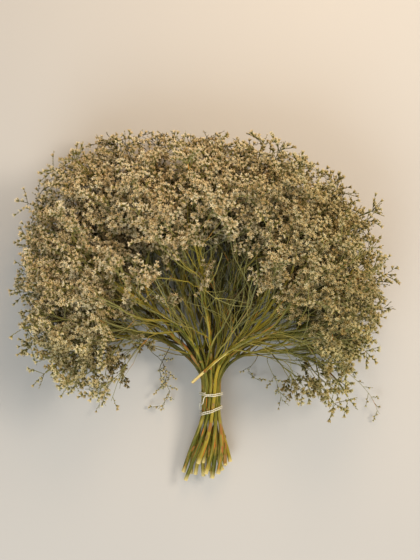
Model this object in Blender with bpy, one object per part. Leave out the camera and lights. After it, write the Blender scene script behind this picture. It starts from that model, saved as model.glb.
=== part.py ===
"""A tied bunch of dried statice, lying on its side on a flat surface.

Nineteen flowering stems are packed in a hexagon where a string binds them. Below it they twist and splay
down to their cut ends, and above it they fan out into a broad, low canopy. One shorter stem lies loose
on top. X runs across the fan, +Y points from the cut ends to the flowers and +Z is up.
Each spray is one closed body: its stem is an extruded tube, its branches are extruded from the stem's
sides and its florets from the branches' sides. The florets are larger than life, so that few of them
still cover the canopy.
"""

import math
import random

import bmesh
import bpy
from mathutils import Matrix, Vector
from mathutils.bvhtree import BVHTree

mm = 0.001

# Driving dimensions, in metres and degrees. Places are measured from the middle of the binding.
bunch = {
    "seed": 5,
    "rowCounts": (3, 4, 5, 4, 3),  # stems in each row of the packed hexagon, lowest row first
    "stemPitch": 4.62 * mm,
    "cutEndsBelow": 69 * mm,
    "cutEndsVary": 25 * mm,
    "endsAside": -4 * mm,
    "neckAbove": 20 * mm,  # where the stems start to fan
    "neckHeight": 31 * mm,
    "endsHeight": 13.6 * mm,
    "lyingBelow": 6 * mm,  # a stem whose cut end comes lower than this lies on the surface
    "lyingRun": 24 * mm,
    "lyingEase": 36 * mm,
    "endsSplayAcross": 3.4,
    "endsSplayUp": 1.3,
    "splayFrom": -12 * mm,
    "twistDeg": 74,
}

stem = {
    "sides": 5,
    "radius": 2.1 * mm,
    "topRadius": 1.0 * mm,  # where its flowers start
    "stations": (-58 * mm, -34 * mm, -12 * mm, 12 * mm),  # rings in the bundle, apart from its two ends
    "fanStation": 34 * mm,  # from one ring to the next above the neck, where no branch is
    "sway": (1.0 * mm, 2.2 * mm),
    "swayWaves": 9,  # radians of sway over the fanned length
    "taperPower": 0.8,
    "angleVary": 3,
    "heightVary": 4 * mm,
    "reachVary": 0.02,
    "tries": 40,
}

# Of each row of stems: the angles of their tips from +Y towards +X, how high these are, and their share
# of the canopy's reach
fan = (
    {"angles": (-84, 1, 84), "height": 20 * mm, "reach": 0.96},
    {"angles": (-64, -22, 32, 66), "height": 44 * mm, "reach": 0.98},
    {"angles": (-89, -43, 11, 43, 95), "height": 72 * mm, "reach": 1.0},
    {"angles": (-75, -32, 21, 76), "height": 98 * mm, "reach": 0.94},
    {"angles": (-53, -9, 54), "height": 118 * mm, "reach": 0.86},
)

# How a fanned stem arches: its heading turns fast at first, as the water of a fountain does
arch = {
    "bend": 1.08,  # of its tip's angle
    "turn": 1.45,  # of the bend, that its heading turns in all
    "turnPower": 0.6,
    "chord": 0.74,  # of the bend, as half the angle of the arc whose chord is its reach
    "evenClimb": 0.35,  # share of its rise that is even
}

# The canopy's reach from the neck's middle, by angle from +Y towards +X
canopyOutline = (
    (-135, 40 * mm),
    (-108, 52 * mm),
    (-98, 98 * mm),
    (-89, 150 * mm),
    (-72, 212 * mm),
    (-56, 244 * mm),
    (-40, 284 * mm),
    (-30, 297 * mm),
    (-16, 286 * mm),
    (0, 276 * mm),
    (20, 268 * mm),
    (48, 246 * mm),
    (58, 218 * mm),
    (68, 196 * mm),
    (82, 144 * mm),
    (98, 130 * mm),
    (108, 112 * mm),
    (135, 40 * mm),
)
# How far from the neck's middle the flowers start
flowersFrom = (
    (-110, 104 * mm),
    (-75, 96 * mm),
    (-40, 80 * mm),
    (0, 76 * mm),
    (40, 62 * mm),
    (110, 48 * mm),
)
canopyRimHeight = 66 * mm
canopyRise = 88 * mm  # of the dome above its rim
canopyPower = 2.6  # how square the dome is
canopySlack = 4 * mm

# The shorter stem that lies across the others: its route in plan, from its cut end
looseRoute = (
    (-21 * mm, 23 * mm),
    (10 * mm, 52 * mm),
    (43 * mm, 79 * mm),
    (92 * mm, 112 * mm),
    (160 * mm, 132 * mm),
)
looseTipHeight = 122 * mm
looseTipVary = 8 * mm

branch = {
    "rootSpacing": 20 * mm,
    "sides": 3,
    "firstAt": 0.24,  # of the stem's fanned length
    "lastAt": 0.9,
    "anglesDeg": (34, 56),
    "longest": 100 * mm,
    "shortest": 64 * mm,
    "lengthShare": (0.8, 1.1),
    "bendOut": 0.55,  # share of its first direction that it has lost at its tip
    "lowerOutward": 0.4,  # how much less than the way out in plan the way up counts
    "shift": 6 * mm,  # of a root, either way
    "rootLength": 3.2 * mm,
    "rootRadius": 1.05 * mm,
    "radius": 2.0 * mm,  # where its flowers start
    "tipRadius": 1.3 * mm,
    "bare": 14 * mm,
    "bareShare": 0.25,
    "longStation": 34 * mm,
    "aboveSurface": 2 * mm,
    "flowerSegment": 13 * mm,
    "leaderFlowers": 0.16,  # of the stem's fanned length
    "leastScore": 2.5,  # florets and newly covered cells that make a branch worth its place
    "cellScore": 0.4,
}

floret = {
    "radius": 13 * mm,
    "depth": 11 * mm,
    "apart": 19 * mm,  # between the middles of two florets' rims
    "lobesOnCorners": {3: 4, 4: 4, 5: 5},  # by how many corners its base has
    "notch": 0.66,  # of the radius, between two lobes
    "dish": 0.45,  # of the depth, how far the middle is sunk
    "leanDeg": 30,  # towards the branch's tip
    "leanVaryDeg": 10,
    "leastWall": 1.2 * mm,
    "sizeVary": 0.1,
    "turnVary": 0.25,
    "tipTurnVary": 0.2,
    "coverCell": 9 * mm,  # of the plan grid that counts what the florets cover
    "coverCells": (-0.7, 0, 0.7),  # the cells that one floret covers, from its middle
}

gap = 0.5 * mm
step = 3 * mm
testPiece = 12 * mm
sharpDeg = 50

string = {
    "radius": 0.8 * mm,
    "gap": 0.4 * mm,
    "sides": 5,
    "upperAt": 9.5 * mm,
    "lowerAt": -9.5 * mm,
    "corners": 12,  # of the hexagon that each binding passes
    "linkCorners": 2,
    "tailCorners": 1,
    "firstCorner": 2,
    "arcDeg": 44,  # of the bend at each corner
    "pitch": 2.0 * mm,
    "tail": 22 * mm,
    "bendShare": 0.49,  # how far to either side of a corner its bend reaches
}


def between(table, x):
    """The value at x of a table of (x, value) rows, joined by straight lines."""
    if x <= table[0][0]:
        return table[0][1]
    for (x0, y0), (x1, y1) in zip(table, table[1:]):
        if x <= x1:
            return y0 + (y1 - y0) * (x - x0) / (x1 - x0)
    return table[-1][1]


def level(t):
    """A ramp from 0 to 1 that starts and ends level."""
    t = min(1.0, max(0.0, t))
    return t * t * (3 - 2 * t)


def fromNeck(point):
    """A point's distance from the neck's middle in plan, and its angle from +Y towards +X in degrees."""
    y = point.y - bunch["neckAbove"]
    return math.hypot(point.x, y), math.degrees(math.atan2(point.x, y))


def insideCanopy(point, slack):
    """Whether a point lies in the dome that the sprays fill together."""
    distance, angle = fromNeck(point)
    share = distance / (between(canopyOutline, angle) + slack)
    if share >= 1:
        return False
    return point.z < canopyRimHeight + canopyRise * math.sqrt(1 - share**canopyPower) + slack


class Room:
    """Everything placed so far, in a grid of cells, so that what is near a place is found quickly."""

    def __init__(self):
        self.cell = 32 * mm
        self.cells = {}
        self.rims = []

    def key(self, p):
        return tuple(int(math.floor(c / self.cell)) for c in p)

    def add(self, solid):
        self.cells.setdefault(self.key(solid["middle"]), []).append(solid)

    def near(self, p, reach):
        """The solids whose round hull comes within reach of p."""
        kx, ky, kz = self.key(p)
        for x in (kx - 1, kx, kx + 1):
            for y in (ky - 1, ky, ky + 1):
                for z in (kz - 1, kz, kz + 1):
                    for solid in self.cells.get((x, y, z), ()):
                        if (solid["middle"] - p).length < solid["reach"] + reach:
                            yield solid

    def closeTo(self, p, distance, skip=()):
        return any(
            solid["tree"].find_nearest(p, distance)[0] is not None
            for solid in self.near(p, distance)
            if solid["of"] not in skip
        )

    def crosses(self, solid, skip=()):
        return any(
            solid["tree"].overlap(other["tree"])
            for other in self.near(solid["middle"], solid["reach"])
            if other["of"] not in skip
        )


def asSolid(points, faces, of):
    """A small solid for the tests of Room, with the middle and radius of a ball round it."""
    middle = sum(points, Vector()) / len(points)
    reach = max((p - middle).length for p in points)
    return {"tree": BVHTree.FromPolygons(points, faces), "middle": middle, "reach": reach, "of": of}


def corner(ring, k, sides):
    angle = 2 * math.pi * k / sides
    turned = ring["across"] * math.cos(angle) + ring["along"].cross(ring["across"]) * math.sin(angle)
    return ring["at"] + turned * ring["radius"]


def sideNormal(ring, side, sides):
    """Which way the side between corners side and side + 1 faces."""
    angle = 2 * math.pi * (side + 0.5) / sides
    return ring["across"] * math.cos(angle) + ring["along"].cross(ring["across"]) * math.sin(angle)


def tubeSolid(a, b, sides, of):
    points = [corner(ring, k, sides) for ring in (a, b) for k in range(sides)]
    faces = [(k, (k + 1) % sides, sides + (k + 1) % sides, sides + k) for k in range(sides)]
    return asSolid(points, faces, of)


def tubePieces(rings, sides, of):
    """Short test solids along a tube."""
    for a, b in zip(rings, rings[1:]):
        pieces = max(1, round((b["at"] - a["at"]).length / testPiece))
        ends = []
        for k in range(pieces + 1):
            share = k / pieces
            radius = a["radius"] + (b["radius"] - a["radius"]) * share
            ends.append(dict(a, at=a["at"].lerp(b["at"], share), radius=radius))
        for near, far in zip(ends, ends[1:]):
            yield tubeSolid(near, far, sides, of)


def ringsAlong(points, radii, across):
    """Rings of a tube: middle, direction, radius and the way to the first corner, carried without a twist."""
    rings = []
    before = (points[1] - points[0]).normalized()
    across = (across - before * across.dot(before)).normalized()
    for i, (point, radius) in enumerate(zip(points, radii)):
        last = min(i + 1, len(points) - 1)
        along = (points[last] - points[max(i - 1, 0)]).normalized()
        across = before.rotation_difference(along) @ across
        across = (across - along * across.dot(along)).normalized()
        before = along
        rings.append({"at": point, "along": along, "radius": radius, "across": across})
    return rings


def alongPath(path, distance):
    """The point and direction at a distance along a path of points that are a step apart."""
    at = min(max(distance / step, 0), len(path) - 1.001)
    i = int(at)
    ahead = path[min(i + 2, len(path) - 1)] - path[max(i - 1, 0)]
    return path[i].lerp(path[i + 1], at - i), ahead.normalized()


def bundlePoint(across, up, s):
    """Where a stem that is packed at (across, up) is at s along the bundle, from the cut ends to the neck."""
    above = bunch["neckAbove"]
    below = bunch["cutEndsBelow"] + bunch["cutEndsVary"]
    turn = math.radians(bunch["twistDeg"]) * (above - s) / (above + below)
    share = max(0.0, (bunch["splayFrom"] - s) / (below + bunch["splayFrom"]))
    x = across * math.cos(turn) - up * math.sin(turn)
    z = across * math.sin(turn) + up * math.cos(turn)
    axis = bunch["neckHeight"] + (bunch["neckHeight"] - bunch["endsHeight"]) * (s - above) / (above + below)
    wide = 1 + (bunch["endsSplayAcross"] - 1) * share
    high = 1 + (bunch["endsSplayUp"] - 1) * share
    return Vector((x * wide + bunch["endsAside"] * share, s, axis + z * high))


def bundlePlaces():
    """(row, place in the row, across, up) of each stem in the packed hexagon."""
    pitch = bunch["stemPitch"]
    for row, count in enumerate(bunch["rowCounts"]):
        for place in range(count):
            yield row, place, (place - (count - 1) / 2) * pitch, (row - 2) * pitch * math.sqrt(0.75)


def fannedPath(start, angle, top, reach, rng):
    """A stem's way from the neck to its tip."""
    bend = math.radians(angle) * arch["bend"]
    half = abs(bend) * arch["chord"]
    length = reach / (math.sin(half) / half if half > 0.01 else 1)
    count = int(length / step)
    wave, phase = rng.uniform(*stem["sway"]), rng.uniform(0, 2 * math.pi)
    path = []
    x, y = start.x, start.y
    for i in range(count):
        t = i / count
        heading = bend * arch["turn"] * t ** arch["turnPower"]
        x += step * math.sin(heading)
        y += step * math.cos(heading)
        sway = wave * math.sin(phase + stem["swayWaves"] * t) * level(4 * t)
        z = start.z + (top - start.z) * (arch["evenClimb"] * t + (1 - arch["evenClimb"]) * level(t))
        path.append(Vector((x + sway * math.cos(heading), y - sway * math.sin(heading), z)))
    return path


def layEnd(path):
    """Lays the cut end of a low stem flat on the surface."""
    run = round(bunch["lyingRun"] / step)
    ease = round(bunch["lyingEase"] / step)
    lying = stem["radius"] * math.cos(math.pi / stem["sides"])
    drop = path[run].z - lying
    for k, p in enumerate(path[: run + ease]):
        p.z = lying if k <= run + 1 else p.z - drop * (1 - level((k - run - 1) / ease))


def packedStem(row, place, across, up, rng, room):
    """A packed stem. Its fanned part is drawn anew until it is clear of the stems that are already there."""
    below = bunch["cutEndsBelow"] + bunch["cutEndsVary"] * rng.uniform(-0.1, 1)
    count = int((below + bunch["neckAbove"]) / step)
    places = [bunch["neckAbove"] - step * (count - i) for i in range(count + 1)]
    inBundle = [bundlePoint(across, up, s) for s in places]
    lies = inBundle[0].z < bunch["lyingBelow"]
    if lies:
        layEnd(inBundle)
    start = bunch["lyingRun"] if lies else 0.0
    stations = [0.0] + ([start] if lies else [])
    stations += [s - places[0] for s in stem["stations"] if s - places[0] > start + testPiece]
    neck = (len(inBundle) - 1) * step
    for attempt in range(stem["tries"]):
        angle = fan[row]["angles"][place] + rng.uniform(-1, 1) * stem["angleVary"]
        reach = between(canopyOutline, angle) * fan[row]["reach"]
        reach *= 1 + rng.uniform(-1, 1) * stem["reachVary"]
        top = fan[row]["height"] + rng.uniform(-1, 1) * stem["heightVary"]
        path = inBundle + fannedPath(inBundle[-1], angle, top, reach, rng)
        grown = {"path": path, "neck": neck, "stations": stations + [neck], "branches": [], "lies": lies}
        ringStem(grown, rng)
        if isClear(grown, room):
            return grown
    raise RuntimeError("a stem finds no way through the fan: change the seed or the angles")


def isClear(grown, room):
    """Whether a stem is clear of the others above the neck."""
    swollen = [dict(ring, radius=ring["radius"] + gap) for ring in grown["rings"]]
    above = [ring for ring in swollen if ring["at"].y > bunch["neckAbove"] + 4 * stem["radius"]]
    return not any(room.crosses(piece) for piece in tubePieces(above, stem["sides"], 0))


def curveThrough(points):
    """Points a step apart on a smooth curve through the given points."""
    fine = []
    for i in range(len(points) - 1):
        a, b = points[max(i - 1, 0)], points[i]
        c, d = points[i + 1], points[min(i + 2, len(points) - 1)]
        for k in range(30):
            t = k / 30
            squared = (2 * a - 5 * b + 4 * c - d) * t**2
            cubed = (3 * b - a - 3 * c + d) * t**3
            fine.append((2 * b + (c - a) * t + squared + cubed) / 2)
    path = [fine[0]]
    for p in fine:
        while (p - path[-1]).length >= step:
            path.append(path[-1] + (p - path[-1]).normalized() * step)
    return path


def looseStem(stems, rng, room):
    """The stem on top. It rests on a stem that it crosses near its cut end, and rises clear of all others."""
    plan = curveThrough([Vector((x, y, 0)) for x, y in looseRoute])
    last = len(plan) - 1
    for attempt in range(stem["tries"]):
        tip = looseTipHeight + rng.uniform(-1, 1) * looseTipVary
        rise = None
        for i, p in enumerate(plan[: last // 2]):
            for other in stems:
                for q in other["path"]:
                    if math.hypot(q.x - p.x, q.y - p.y) < 2 * stem["radius"]:
                        most = (tip - q.z - 2 * stem["radius"] - gap) / (last - i)
                        rise = most if rise is None else min(rise, most)
        path = [Vector((p.x, p.y, tip - rise * (last - i))) for i, p in enumerate(plan)]
        grown = {"path": path, "neck": 0.0, "stations": [0.0], "branches": [], "lies": False}
        ringStem(grown, rng)
        if isClear(grown, room):
            return grown
    raise RuntimeError("the loose stem finds no way over the others: change its route or height")


def rimPlace(k, count, around):
    """Which of the points round a floret's rim stands over corner k of its base, of so many corners."""
    return round(around * k / count)


def stemRadius(grown, distance):
    length = (len(grown["path"]) - 1) * step
    flowering = grown["neck"] + (length - grown["neck"]) * (1 - branch["leaderFlowers"])
    share = max(0.0, distance - grown["neck"]) / (flowering - grown["neck"])
    return stem["radius"] + (stem["topRadius"] - stem["radius"]) * min(1.0, share) ** stem["taperPower"]


def floretPoints(bloom, swell=0.0, base=0.0):
    """The corners of the floret's base, the points round its rim and its sunk middle.

    For tests its sides can be swollen, and its base moved up a share of its wall.
    """
    axis = bloom["axis"]
    rim = bloom["rim"]
    count = len(bloom["base"])
    onSide = count == 4
    square = (bloom["base"][0] + bloom["base"][1 if onSide else 0]) / 2 - bloom["foot"]
    square = (square - axis * square.dot(axis)).normalized()
    other = axis.cross(square)
    start = bloom["turn"] - (math.pi / 4 if onSide else 0)
    rimPoints = []
    around = 2 * floret["lobesOnCorners"][count]
    for k in range(around):
        angle = start + 2 * math.pi * k / around
        out = bloom["radius"] * (1 if k % 2 == 0 else floret["notch"]) + swell
        rimPoints.append(rim + (square * math.cos(angle) + other * math.sin(angle)) * out)
    middle = rim - axis * (bloom["depth"] * floret["dish"])
    feet = []
    for i, p in enumerate(bloom["base"]):
        out = p - bloom["foot"]
        out = (out - axis * out.dot(axis)).normalized()
        feet.append(p.lerp(rimPoints[rimPlace(i, count, around)], base) + out * swell)
    return feet, rimPoints, middle


def floretSolid(bloom, of, swell=0.0, above=0.25):
    """The floret as a test solid. It starts a little above its base, which it shares with its branch."""
    feet, rim, middle = floretPoints(bloom, swell, above)
    count, around = len(feet), len(rim)
    faces = wallFaces(count, around)
    raised = bloom["axis"] * swell
    top = count
    if swell:
        top += around
        for k in range(around):
            onward = (k + 1) % around
            faces.append((count + k, count + onward, top + onward, top + k))
        rim = rim + [p + raised for p in rim]
    faces += [(top + k, top + (k + 1) % around, top + around) for k in range(around)]
    return asSolid(feet + rim + [middle + raised], faces, of)


def wallFaces(count, around):
    """The triangles of a floret's wall, as numbers of its base corners and then of its rim's points."""
    faces = []
    for k in range(count):
        low, onward = k, (k + 1) % count
        start, end = rimPlace(k, count, around), rimPlace(k + 1, count, around)
        rim = [count + r % around for r in range(start, end + 1)]
        faces += [(low, rim[1], rim[0]), (onward, rim[-1], rim[-2]), (low, onward, rim[1])]
        if len(rim) > 3:
            faces.append((onward, rim[-2], rim[1]))
    return faces


def isSound(bloom):
    """Whether a floret's wall passes well outside its sunk middle all round, and so isn't thin or folded."""
    feet, rim, middle = floretPoints(bloom)
    points = feet + rim
    for a, b, c in wallFaces(len(feet), len(rim)):
        outward = (points[b] - points[a]).cross(points[c] - points[a]).normalized()
        if (points[a] - middle).dot(outward) < floret["leastWall"]:
            return False
    return True


def floretOn(rings, segment, side, sides, rng):
    """A floret on one side of a tube between two rings, leaning towards the tip."""
    a, b = rings[segment], rings[segment + 1]
    normal = (sideNormal(a, side, sides) + sideNormal(b, side, sides)).normalized()
    along = (b["at"] - a["at"]).normalized()
    lean = math.radians(floret["leanDeg"] + rng.uniform(-1, 1) * floret["leanVaryDeg"])
    base = [corner(a, side, sides), corner(a, side + 1, sides)]
    base += [corner(b, side + 1, sides), corner(b, side, sides)]
    foot = sum(base, Vector()) / 4
    size = 1 + rng.uniform(-1, 1) * floret["sizeVary"]
    axis = (normal * math.cos(lean) + along * math.sin(lean)).normalized()
    return {
        "segment": segment,
        "side": side,
        "axis": axis,
        "base": base,
        "foot": foot,
        "rim": foot + axis * floret["depth"] * size,
        "depth": floret["depth"] * size,
        "radius": floret["radius"] * size,
        "turn": rng.uniform(-1, 1) * floret["turnVary"],
    }


def tipFloret(rings, sides, rng):
    """The floret that ends a tube."""
    end = rings[-1]
    size = 1 + rng.uniform(-1, 1) * floret["sizeVary"]
    return {
        "segment": len(rings) - 1,
        "side": -1,
        "axis": end["along"].copy(),
        "base": [corner(end, k, sides) for k in range(sides)],
        "foot": end["at"].copy(),
        "rim": end["at"] + end["along"] * floret["depth"] * size,
        "depth": floret["depth"] * size,
        "radius": floret["radius"] * size,
        "turn": rng.uniform(-1, 1) * floret["tipTurnVary"],
    }


def floretFits(bloom, room, of, skip):
    """Whether a floret is clear of the surface and of everything placed."""
    if min(p.z for p in floretPoints(bloom)[1]) < 0 or not isSound(bloom):
        return False
    distance, angle = fromNeck(bloom["rim"])
    if distance < between(flowersFrom, angle):
        return False
    if any((rim - bloom["rim"]).length < floret["apart"] for rim in room.rims):
        return False
    return not room.crosses(floretSolid(bloom, of, gap, 0.03), skip)


def dressTube(rings, first, sides, rng, room, of, skip=()):
    """The florets that find room on a tube, from segment first to its tip."""
    own = [tubeSolid(a, b, sides, k) for k, (a, b) in enumerate(zip(rings, rings[1:]))]
    blooms, solids = [], []

    def place(bloom):
        if not floretFits(bloom, room, of, skip):
            return False
        solid = floretSolid(bloom, of, gap)
        upper = floretSolid(bloom, of, gap, 0.6)
        for k, tube in enumerate(own):
            if (solid if abs(k - bloom["segment"]) > 1 else upper)["tree"].overlap(tube["tree"]):
                return False
        whole = floretSolid(bloom, of, 0.0, 0.03)
        for other in solids:
            if solid["tree"].overlap(other["tree"]) or whole["tree"].overlap(other["tree"]):
                return False
        if any((other["rim"] - bloom["rim"]).length < floret["apart"] for other in blooms):
            return False
        blooms.append(bloom)
        solids.append(whole)
        return True

    place(tipFloret(rings, sides, rng))
    for segment in reversed(range(first, len(rings) - 1)):
        order = list(range(sides))
        rng.shuffle(order)
        for side in order:
            if place(floretOn(rings, segment, side, sides, rng)):
                break
    return blooms, solids


def branchPath(start, along, normal, angle, length, room, of):
    """A branch's centre line: it leaves its stem at an angle, bends outwards and stops short of other things."""
    leaning = math.radians(angle)
    first = along * math.cos(leaning) + normal * math.sin(leaning)
    path = [start.copy()]
    count = int(length / step)
    for k in range(1, count + 1):
        t = k / count
        here = path[-1]
        outward = Vector((here.x, here.y - bunch["neckAbove"], here.z * branch["lowerOutward"]))
        bent = branch["bendOut"] * t
        direction = first * (1 - bent) + (along + outward.normalized()) * bent / 2
        after = here + direction.normalized() * step
        after.z = max(after.z, branch["radius"] + branch["aboveSurface"])
        if not insideCanopy(after, canopySlack):
            break
        if k > 1 and room.closeTo(after, branch["radius"] + gap, () if k > 5 else (("stem", of),)):
            break
        path.append(after)
    return path


def floweringRadii(segments):
    """The radii of a tube's rings along its flowers."""
    change = branch["tipRadius"] - branch["radius"]
    return [branch["radius"] + change * k / segments for k in range(segments + 1)]


def growBranch(root, along, normal, angle, length, rng, room, of):
    """A branch with its rings and florets, or None where none fits. It ends at its last floret."""
    path = branchPath(root, along, normal, angle, length, room, of)
    length = (len(path) - 1) * step
    bare = max(branch["bare"], branch["bareShare"] * length)
    while bare < length:
        distance, around = fromNeck(alongPath(path, bare)[0])
        if distance > between(flowersFrom, around):
            break
        bare += step
    segments = int(round((length - bare) / branch["flowerSegment"]))
    if segments < 1:
        return None
    count = max(1, math.ceil(bare / branch["longStation"]))
    places = [bare * k / count for k in range(count)]
    places += [bare + (length - bare) * k / segments for k in range(segments + 1)]
    radii = [branch["rootRadius"]] * count + floweringRadii(segments)
    points = [alongPath(path, d)[0] for d in places]
    rings = ringsAlong(points, radii, along)
    swollen = [dict(ring, radius=ring["radius"] + gap) for ring in rings]
    for k, piece in enumerate(tubePieces(swollen, branch["sides"], of)):
        if room.crosses(piece, (("stem", of),) if k == 0 else ()):
            return None
    blooms, solids = dressTube(rings, count, branch["sides"], rng, room, of)
    if not any(bloom["side"] < 0 for bloom in blooms):
        last = max((bloom["segment"] for bloom in blooms), default=0)
        rings = rings[: last + 2]
    return {"rings": rings, "blooms": blooms, "solids": solids}


def ringStem(grown, rng):
    """Gives a stem its rings: in the bundle, on either side of each branch's root, and along its flowers."""
    length = (len(grown["path"]) - 1) * step
    fanned = length - grown["neck"]
    half = branch["rootLength"] / 2
    flowering = length - fanned * branch["leaderFlowers"]
    segments = max(2, int(round((length - flowering) / branch["flowerSegment"])))
    count = round(fanned * (branch["lastAt"] - branch["firstAt"]) / branch["rootSpacing"])
    roots = []
    for n in range(count):
        share = branch["firstAt"] + (branch["lastAt"] - branch["firstAt"]) * (n + 0.5) / count
        at = grown["neck"] + fanned * share + rng.uniform(-1, 1) * branch["shift"]
        if at < flowering - branch["rootSpacing"] / 3:
            roots.append(at)
    places = list(grown["stations"])
    for at in roots:
        while at - half - places[-1] > stem["fanStation"] * 1.3:
            places.append(places[-1] + stem["fanStation"])
        places += [at - half, at + half]
    rootSegments = [places.index(at - half) for at in roots]
    first = len(places)
    places += [flowering + (length - flowering) * k / segments for k in range(segments + 1)]
    radii = [stemRadius(grown, d) for d in places[:first]] + floweringRadii(segments)
    points = [alongPath(grown["path"], d)[0] for d in places]
    turn = Matrix.Rotation(math.pi / stem["sides"], 3, points[1] - points[0])
    rings = ringsAlong(points, radii, turn @ Vector((0, 0, -1)))
    if grown["lies"]:
        rings[1].update(along=rings[0]["along"], across=rings[0]["across"])
    grown["rings"] = rings
    grown["roots"] = rootSegments
    grown["first"] = first


def newCells(blooms, covered):
    """The cells of a plan grid that a branch's florets would be the first to cover."""
    cells = set()
    for bloom in blooms:
        cx, cy = bloom["rim"].x / floret["coverCell"], bloom["rim"].y / floret["coverCell"]
        for x in floret["coverCells"]:
            for y in floret["coverCells"]:
                cells.add((int(math.floor(cx + x)), int(math.floor(cy + y))))
    return cells - covered


def layOut():
    """The whole plan of the bunch: stems, branches and florets, as rings and places that cross nothing."""
    rng = random.Random(bunch["seed"])
    room = Room()
    sides = stem["sides"]
    stems = []
    for row, place, across, up in bundlePlaces():
        stems.append(packedStem(row, place, across, up, rng, room))
        for solid in tubePieces(stems[-1]["rings"], sides, ("stem", len(stems) - 1)):
            room.add(solid)
    stems.append(looseStem(stems, rng, room))
    for solid in tubePieces(stems[-1]["rings"], sides, ("stem", len(stems) - 1)):
        room.add(solid)
    covered = set()
    order = list(range(len(stems)))
    rng.shuffle(order)
    for i in order:
        grown = stems[i]
        blooms, solids = dressTube(grown["rings"], grown["first"], sides, rng, room, i, (("stem", i),))
        grown["blooms"] = blooms
        room.rims += [bloom["rim"] for bloom in blooms]
        covered |= newCells(blooms, covered)
        for solid in solids:
            room.add(solid)
    for fromTip in range(max(len(grown["roots"]) for grown in stems)):
        rng.shuffle(order)
        for i in order:
            grown = stems[i]
            n = len(grown["roots"]) - 1 - fromTip
            if n < 0:
                continue
            segment = grown["roots"][n]
            a, b = grown["rings"][segment], grown["rings"][segment + 1]
            share = n / len(grown["roots"])
            length = branch["longest"] + (branch["shortest"] - branch["longest"]) * share
            best, bestScore = None, branch["leastScore"]
            for side in range(sides):
                normal = (sideNormal(a, side, sides) + sideNormal(b, side, sides)).normalized()
                root = (a["at"] + b["at"]) / 2 + normal * a["radius"] * math.cos(math.pi / sides)
                for angle in branch["anglesDeg"]:
                    drawn = length * rng.uniform(*branch["lengthShare"])
                    tried = growBranch(root, a["along"], normal, angle, drawn, rng, room, i)
                    if tried is None:
                        continue
                    cells = newCells(tried["blooms"], covered)
                    score = len(tried["blooms"]) + branch["cellScore"] * len(cells)
                    if score > bestScore:
                        best, bestScore = tried, score
                        best["segment"], best["side"] = segment, side
            if best is None:
                continue
            grown["branches"].append(best)
            room.rims += [bloom["rim"] for bloom in best["blooms"]]
            covered |= newCells(best["blooms"], covered)
            for solid in best["solids"]:
                room.add(solid)
            for solid in tubePieces(best["rings"], branch["sides"], i):
                room.add(solid)
    return stems


def growFace(bm, face, ring, sides):
    """Extrudes a face to the next ring. Gives the new end face and the side faces in the ring's order."""
    end = bmesh.ops.extrude_discrete_faces(bm, faces=[face])["faces"][0]
    loops = list(end.loops)
    middle = end.calc_center_median()
    targets = [corner(ring, k, sides) for k in range(sides)]

    def twist(offset):
        total = 0
        for k, loop in enumerate(loops):
            before = (loop.vert.co - middle).normalized()
            after = (targets[(k + offset) % sides] - ring["at"]).normalized()
            total += (before - after).length
        return total

    offset = min(range(sides), key=twist)
    walls = [None] * sides
    for k, loop in enumerate(loops):
        walls[(k + offset) % sides] = loop.link_loop_radial_next.face
    for k, loop in enumerate(loops):
        loop.vert.co = targets[(k + offset) % sides]
    return end, walls


def growTube(bm, face, rings, sides):
    """Extrudes a face through the rings. Gives the end face and each segment's side faces."""
    segments = []
    for ring in rings:
        face, walls = growFace(bm, face, ring, sides)
        segments.append(walls)
    return face, segments


def startTube(bm, rings, sides):
    """The first segment of a tube, from its cut end."""
    bmesh.ops.create_cone(bm, cap_ends=True, segments=sides, radius1=1, radius2=1, depth=1)
    end = next(face for face in bm.faces if len(face.verts) == sides and face.normal.z > 0.9)
    walls = []
    for k, loop in enumerate(list(end.loops)):
        below = next(e.other_vert(loop.vert) for e in loop.vert.link_edges if e not in end.edges)
        below.co = corner(rings[0], k, sides)
        walls.append(loop.link_loop_radial_next.face)
    for k, loop in enumerate(list(end.loops)):
        loop.vert.co = corner(rings[1], k, sides)
    return end, walls


def growFloret(bm, face, bloom):
    """Raises a floret from a face: a funnel with a lobed rim and a sunk middle."""
    feet, rimPoints, middle = floretPoints(bloom)
    count, around = len(feet), len(rimPoints)
    end = bmesh.ops.extrude_discrete_faces(bm, faces=[face])["faces"][0]
    loops = list(end.loops)
    first = min(range(count), key=lambda k: (loops[k].vert.co - feet[0]).length)
    corners = [loops[(first + k) % count].vert for k in range(count)]
    below = [next(e.other_vert(v) for e in v.link_edges if e not in end.edges) for v in corners]
    for k, vert in enumerate(corners):
        onward = corners[(k + 1) % count]
        for cut in range(rimPlace(k + 1, count, around) - rimPlace(k, count, around) - 1):
            edge = next(e for e in end.edges if vert in e.verts and onward in e.verts)
            vert = bmesh.utils.edge_split(edge, vert, 0.5)[1]
    rim = [loop.vert for loop in end.loops]
    start = rim.index(corners[0])
    rim = rim[start:] + rim[:start]
    for vert, point in zip(rim, rimPoints):
        vert.co = point
    for k in range(count):
        a, b = rimPlace(k, count, around), rimPlace(k + 1, count, around)
        splitWall(below[k], rim[a + 1])
        splitWall(below[(k + 1) % count], rim[b - 1])
        if b - 1 > a + 1:
            splitWall(below[(k + 1) % count], rim[a + 1])
    centre = bmesh.ops.poke(bm, faces=[end])["verts"][0]
    centre.co = middle


def splitWall(low, high):
    face = next(f for f in low.link_faces if high in f.verts)
    bmesh.utils.face_split(face, low, high)


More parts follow.
